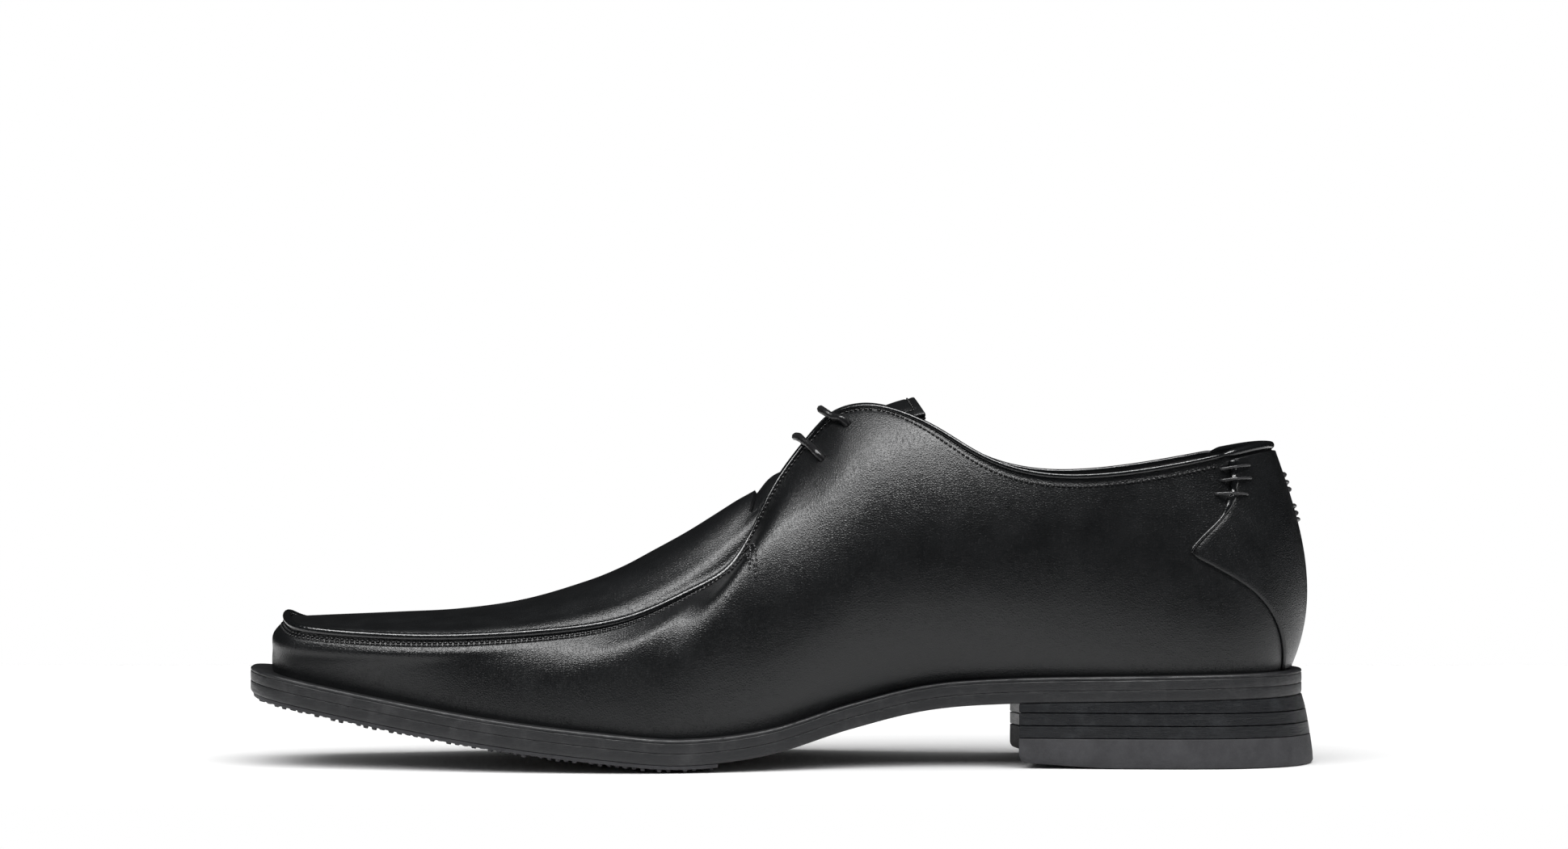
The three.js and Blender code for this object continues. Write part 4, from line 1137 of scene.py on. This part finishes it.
# lace: one braided round lace through both pairs of holes, its ends lying on the sock inside
laceShape = {"radius": 1.1, "sides": 16, "step": 0.42, "braid": 0.16, "lay": 3.4, "agletRadius": 1.3,
             "agletLength": 20}
laceRoute = [
    (-14, -13, 34.3), (-34, -14.5, 33.9), (-62, -13.2, 32.6), (-84, -15, 29.2), (-95, -16.8, 28.6),
    (-98.4, -17, 36), (-98.2, -16.4, 62), (-98.2, -17.8, 87), (-99.9, -19.5, 88.9),
    (-101.2, -20.8, 90.3), (-102.6, -20.4, 91.9), (-104.4, -15.9, 93.8), (-107.4, -11, 96),
    (-108.8, 0, 96.4), (-107.5, 11, 96.1), (-105.6, 16.3, 93.9), (-104.3, 20.9, 92.1),
    (-103.1, 21.7, 90.5), (-101.8, 20.6, 89), (-100, 19.2, 87), (-95, 16.4, 90.5), (-92.1, 15.4, 96.8),
    (-93.5, 17, 98.9), (-94.6, 18.3, 100.5), (-96, 18.3, 102.1), (-98, 15, 102.5),
    (-100.3, 11.7, 103.9), (-101.3, 0, 104.6), (-100.3, -11.6, 103.9), (-97.6, -14.6, 102.4),
    (-95.3, -17.8, 102), (-93.8, -17.6, 100.4), (-92.7, -16.2, 98.9), (-91.3, -14.3, 97),
    (-90.6, -13.6, 91), (-90.8, -12, 42), (-87.6, -9.6, 32.2), (-78, -7.6, 30.8), (-60, -5.5, 32.9),
    (-16, -1.5, 34.4)]


def centripetal(points, perSpan=24):  # smooth line through every point of the route
    p = np.array(points, float)
    p = np.concatenate([[2 * p[0] - p[1]], p, [2 * p[-1] - p[-2]]])
    result = []
    for k in range(1, len(p) - 2):
        knots = [0.0]
        for j in range(k - 1, k + 2):
            knots.append(knots[-1] + max(np.linalg.norm(p[j + 1] - p[j]) ** 0.5, 1e-6))
        for u in np.linspace(knots[1], knots[2], perSpan, endpoint=False):
            a = [((knots[i + 1] - u) * p[k - 1 + i] + (u - knots[i]) * p[k + i]) / (knots[i + 1] - knots[i])
                 for i in range(3)]
            b = [((knots[i + 2] - u) * a[i] + (u - knots[i]) * a[i + 1]) / (knots[i + 2] - knots[i])
                 for i in range(2)]
            result.append(((knots[2] - u) * b[0] + (u - knots[1]) * b[1]) / (knots[2] - knots[1]))
    result.append(p[-2])
    return np.array(result)


def steadyUps(path):
    along = unit(np.gradient(path, axis=0))
    ups = [unit(np.cross(along[0], [0, 1, 0.2]))]
    for direction in along[1:]:
        ups.append(unit(ups[-1] - direction * np.dot(ups[-1], direction)))
    return np.array(ups)


def addLace():
    line = centripetal(laceRoute)
    length = pathLength(line)
    path = resampled(line, int(length / laceShape["step"]))
    ups = steadyUps(path)
    along = unit(np.gradient(path, axis=0))
    side = unit(np.cross(along, ups))
    rise = np.cross(side, along)
    travelled = np.linspace(0, length, len(path))
    angles = np.linspace(0, 2 * math.pi, laceShape["sides"], endpoint=False)
    turn = travelled[:, None] * 2 * math.pi / laceShape["lay"]
    weave = np.abs(np.sin(2 * angles[None] + turn)) * np.abs(np.sin(2 * angles[None] - turn))
    radius = laceShape["radius"] * (1 - laceShape["braid"] + laceShape["braid"] * 1.25 * weave ** 0.5)
    ring = side[:, None] * np.cos(angles)[None, :, None] + rise[:, None] * np.sin(angles)[None, :, None]
    points = path[:, None] + ring * radius[..., None]
    caps = [np.repeat(path[:1], laceShape["sides"], 0)[None], np.repeat(path[-1:], laceShape["sides"], 0)[None]]
    obj = gridPiece("laceBraid", np.concatenate([caps[0], points, caps[1]]), laceCotton, wrapAcross=True)
    smoothShade(obj, 60)
    return obj, path, length


laceBraid, lacePath, laceLength = addLace()
place(laceBraid, "lace", "lace")
print("lace length in millimetres", round(laceLength, 1))


def addAglet(name, start, direction):
    tip = laceShape["agletLength"]
    f = np.array([0, 0.2, 0.6, 1.0, 2.0, 5, 10, 15, tip - 2, tip - 1, tip - 0.4, tip])
    waist = [0.93] * 6
    radii = laceShape["agletRadius"] * np.array([0.85, 0.97, 1] + waist + [0.9, 0.8, 0.6])
    path = start + direction * f[:, None]
    ups = np.repeat(np.array([[0, 0.2, 1.0]]), len(f), 0)
    return tube(name, path, unit(ups), 1.0, agletPlastic, sides=18, profile=radii)


agletStart = addAglet("agletStart", lacePath[0], unit(lacePath[0] - lacePath[1]))
agletEnd = addAglet("agletEnd", lacePath[-1], unit(lacePath[-1] - lacePath[-2]))
place(agletStart, "aglet", "aglet_1")
place(agletEnd, "aglet", "aglet_2")
print("lace ready")

# finishes of the hidden parts
cork = liningLeather("corkFilling", (0.30, 0.19, 0.10))
steel = newMaterial("springSteel", (0.4, 0.41, 0.42), 0.35, metallic=1.0)
steelNodes = NodeTree(steel)
steelNodes.finish(roughness=steelNodes.ramp(steelNodes.noise(400, detail=4), 0.25, 0.5, 0.3, 0.7))
board = liningLeather("leatherBoard", (0.34, 0.24, 0.14))
blackBoard = liningLeather("blackBoard", (0.016, 0.015, 0.014))      # its rim shows beside the sock
hiddenFinish = {"cork_filler": cork, "shank": steel, "insole_board": blackBoard, "heel_counter": board,
                "toe_puff": board}
for number in range(1, 6):
    hiddenFinish["heel_nail_" + str(number)] = steel
for nodeName, material in hiddenFinish.items():
    node = bpy.data.objects[nodeName]
    if not node.data.materials:
        node.data.materials.append(material)
    for slotIndex in range(len(node.data.materials)):
        node.data.materials[slotIndex] = material
print("hidden parts ready")

# floor, white surroundings and lights
studio = {"floorFrom": (-1.5, -0.15), "floorTo": (1.3, 0.5), "white": 0.9, "background": 1.0, "around": 0.3,
          "reflected": 0.012}


def addStage():
    deselectAll()
    bpy.ops.mesh.primitive_plane_add(size=1)
    floor = bpy.context.object
    floor.name = "studioFloor"
    (left, front), (right, back) = studio["floorFrom"], studio["floorTo"]
    floor.scale = (right - left, back - front, 1)
    floor.location = ((left + right) / 2, (front + back) / 2, 0)
    activate(floor)
    bpy.ops.object.transform_apply(location=True, rotation=True, scale=True)
    white = newMaterial("paperWhite", (studio["white"],) * 3, 0.9, specular=0.0)
    paper = NodeTree(white)
    paper.finish(roughness=paper.ramp(paper.noise(30), 0.85, 0.95))
    floor.data.materials.append(white)


def addAreaLight(name, location, target, size, radiance, glossy=True, diffuse=True):
    data = bpy.data.lights.new(name, "AREA")
    data.shape = "RECTANGLE"
    data.size, data.size_y = size
    data.energy = radiance * math.pi * size[0] * size[1]
    light = bpy.data.objects.new(name, data)
    bpy.context.scene.collection.objects.link(light)
    light.location = location
    direction = Vector(target) - Vector(location)
    light.rotation_euler = direction.to_track_quat("-Z", "Y").to_euler()
    light.visible_glossy = glossy
    light.visible_diffuse = diffuse
    light.visible_camera = False


def addWorld():  # a white room that lights the paper evenly, and is dark in the leather's gloss
    world = bpy.data.worlds.new("studioWorld")
    world.use_nodes = True
    tree = world.node_tree
    background = tree.nodes["Background"]
    background.inputs["Color"].default_value = (1, 1, 1, 1)
    rays = tree.nodes.new("ShaderNodeLightPath")
    strength = None
    for ray, low, high in (("Is Camera Ray", studio["reflected"], studio["background"]),
                           ("Is Diffuse Ray", 0.0, studio["around"])):
        part = tree.nodes.new("ShaderNodeMapRange")
        part.inputs["To Min"].default_value = low
        part.inputs["To Max"].default_value = high
        tree.links.new(rays.outputs[ray], part.inputs["Value"])
        if strength is None:
            strength = part.outputs["Result"]
        else:
            total = tree.nodes.new("ShaderNodeMath")
            tree.links.new(strength, total.inputs[0])
            tree.links.new(part.outputs["Result"], total.inputs[1])
            strength = total.outputs["Value"]
    tree.links.new(strength, background.inputs["Strength"])
    bpy.context.scene.world = world


addStage()
addWorld()
addAreaLight("paperFill", (-0.1, -0.9, 2.0), (-0.1, 0.2, 0), (4.6, 2.8), 2.6, glossy=False)
addAreaLight("overheadSoftbox", (-0.15, -0.50, 1.35), (-0.15, -0.1, 0), (2.0, 0.42), 19.0, diffuse=False)
bpy.context.scene.view_settings.view_transform = "Standard"
print("stage and lights ready")
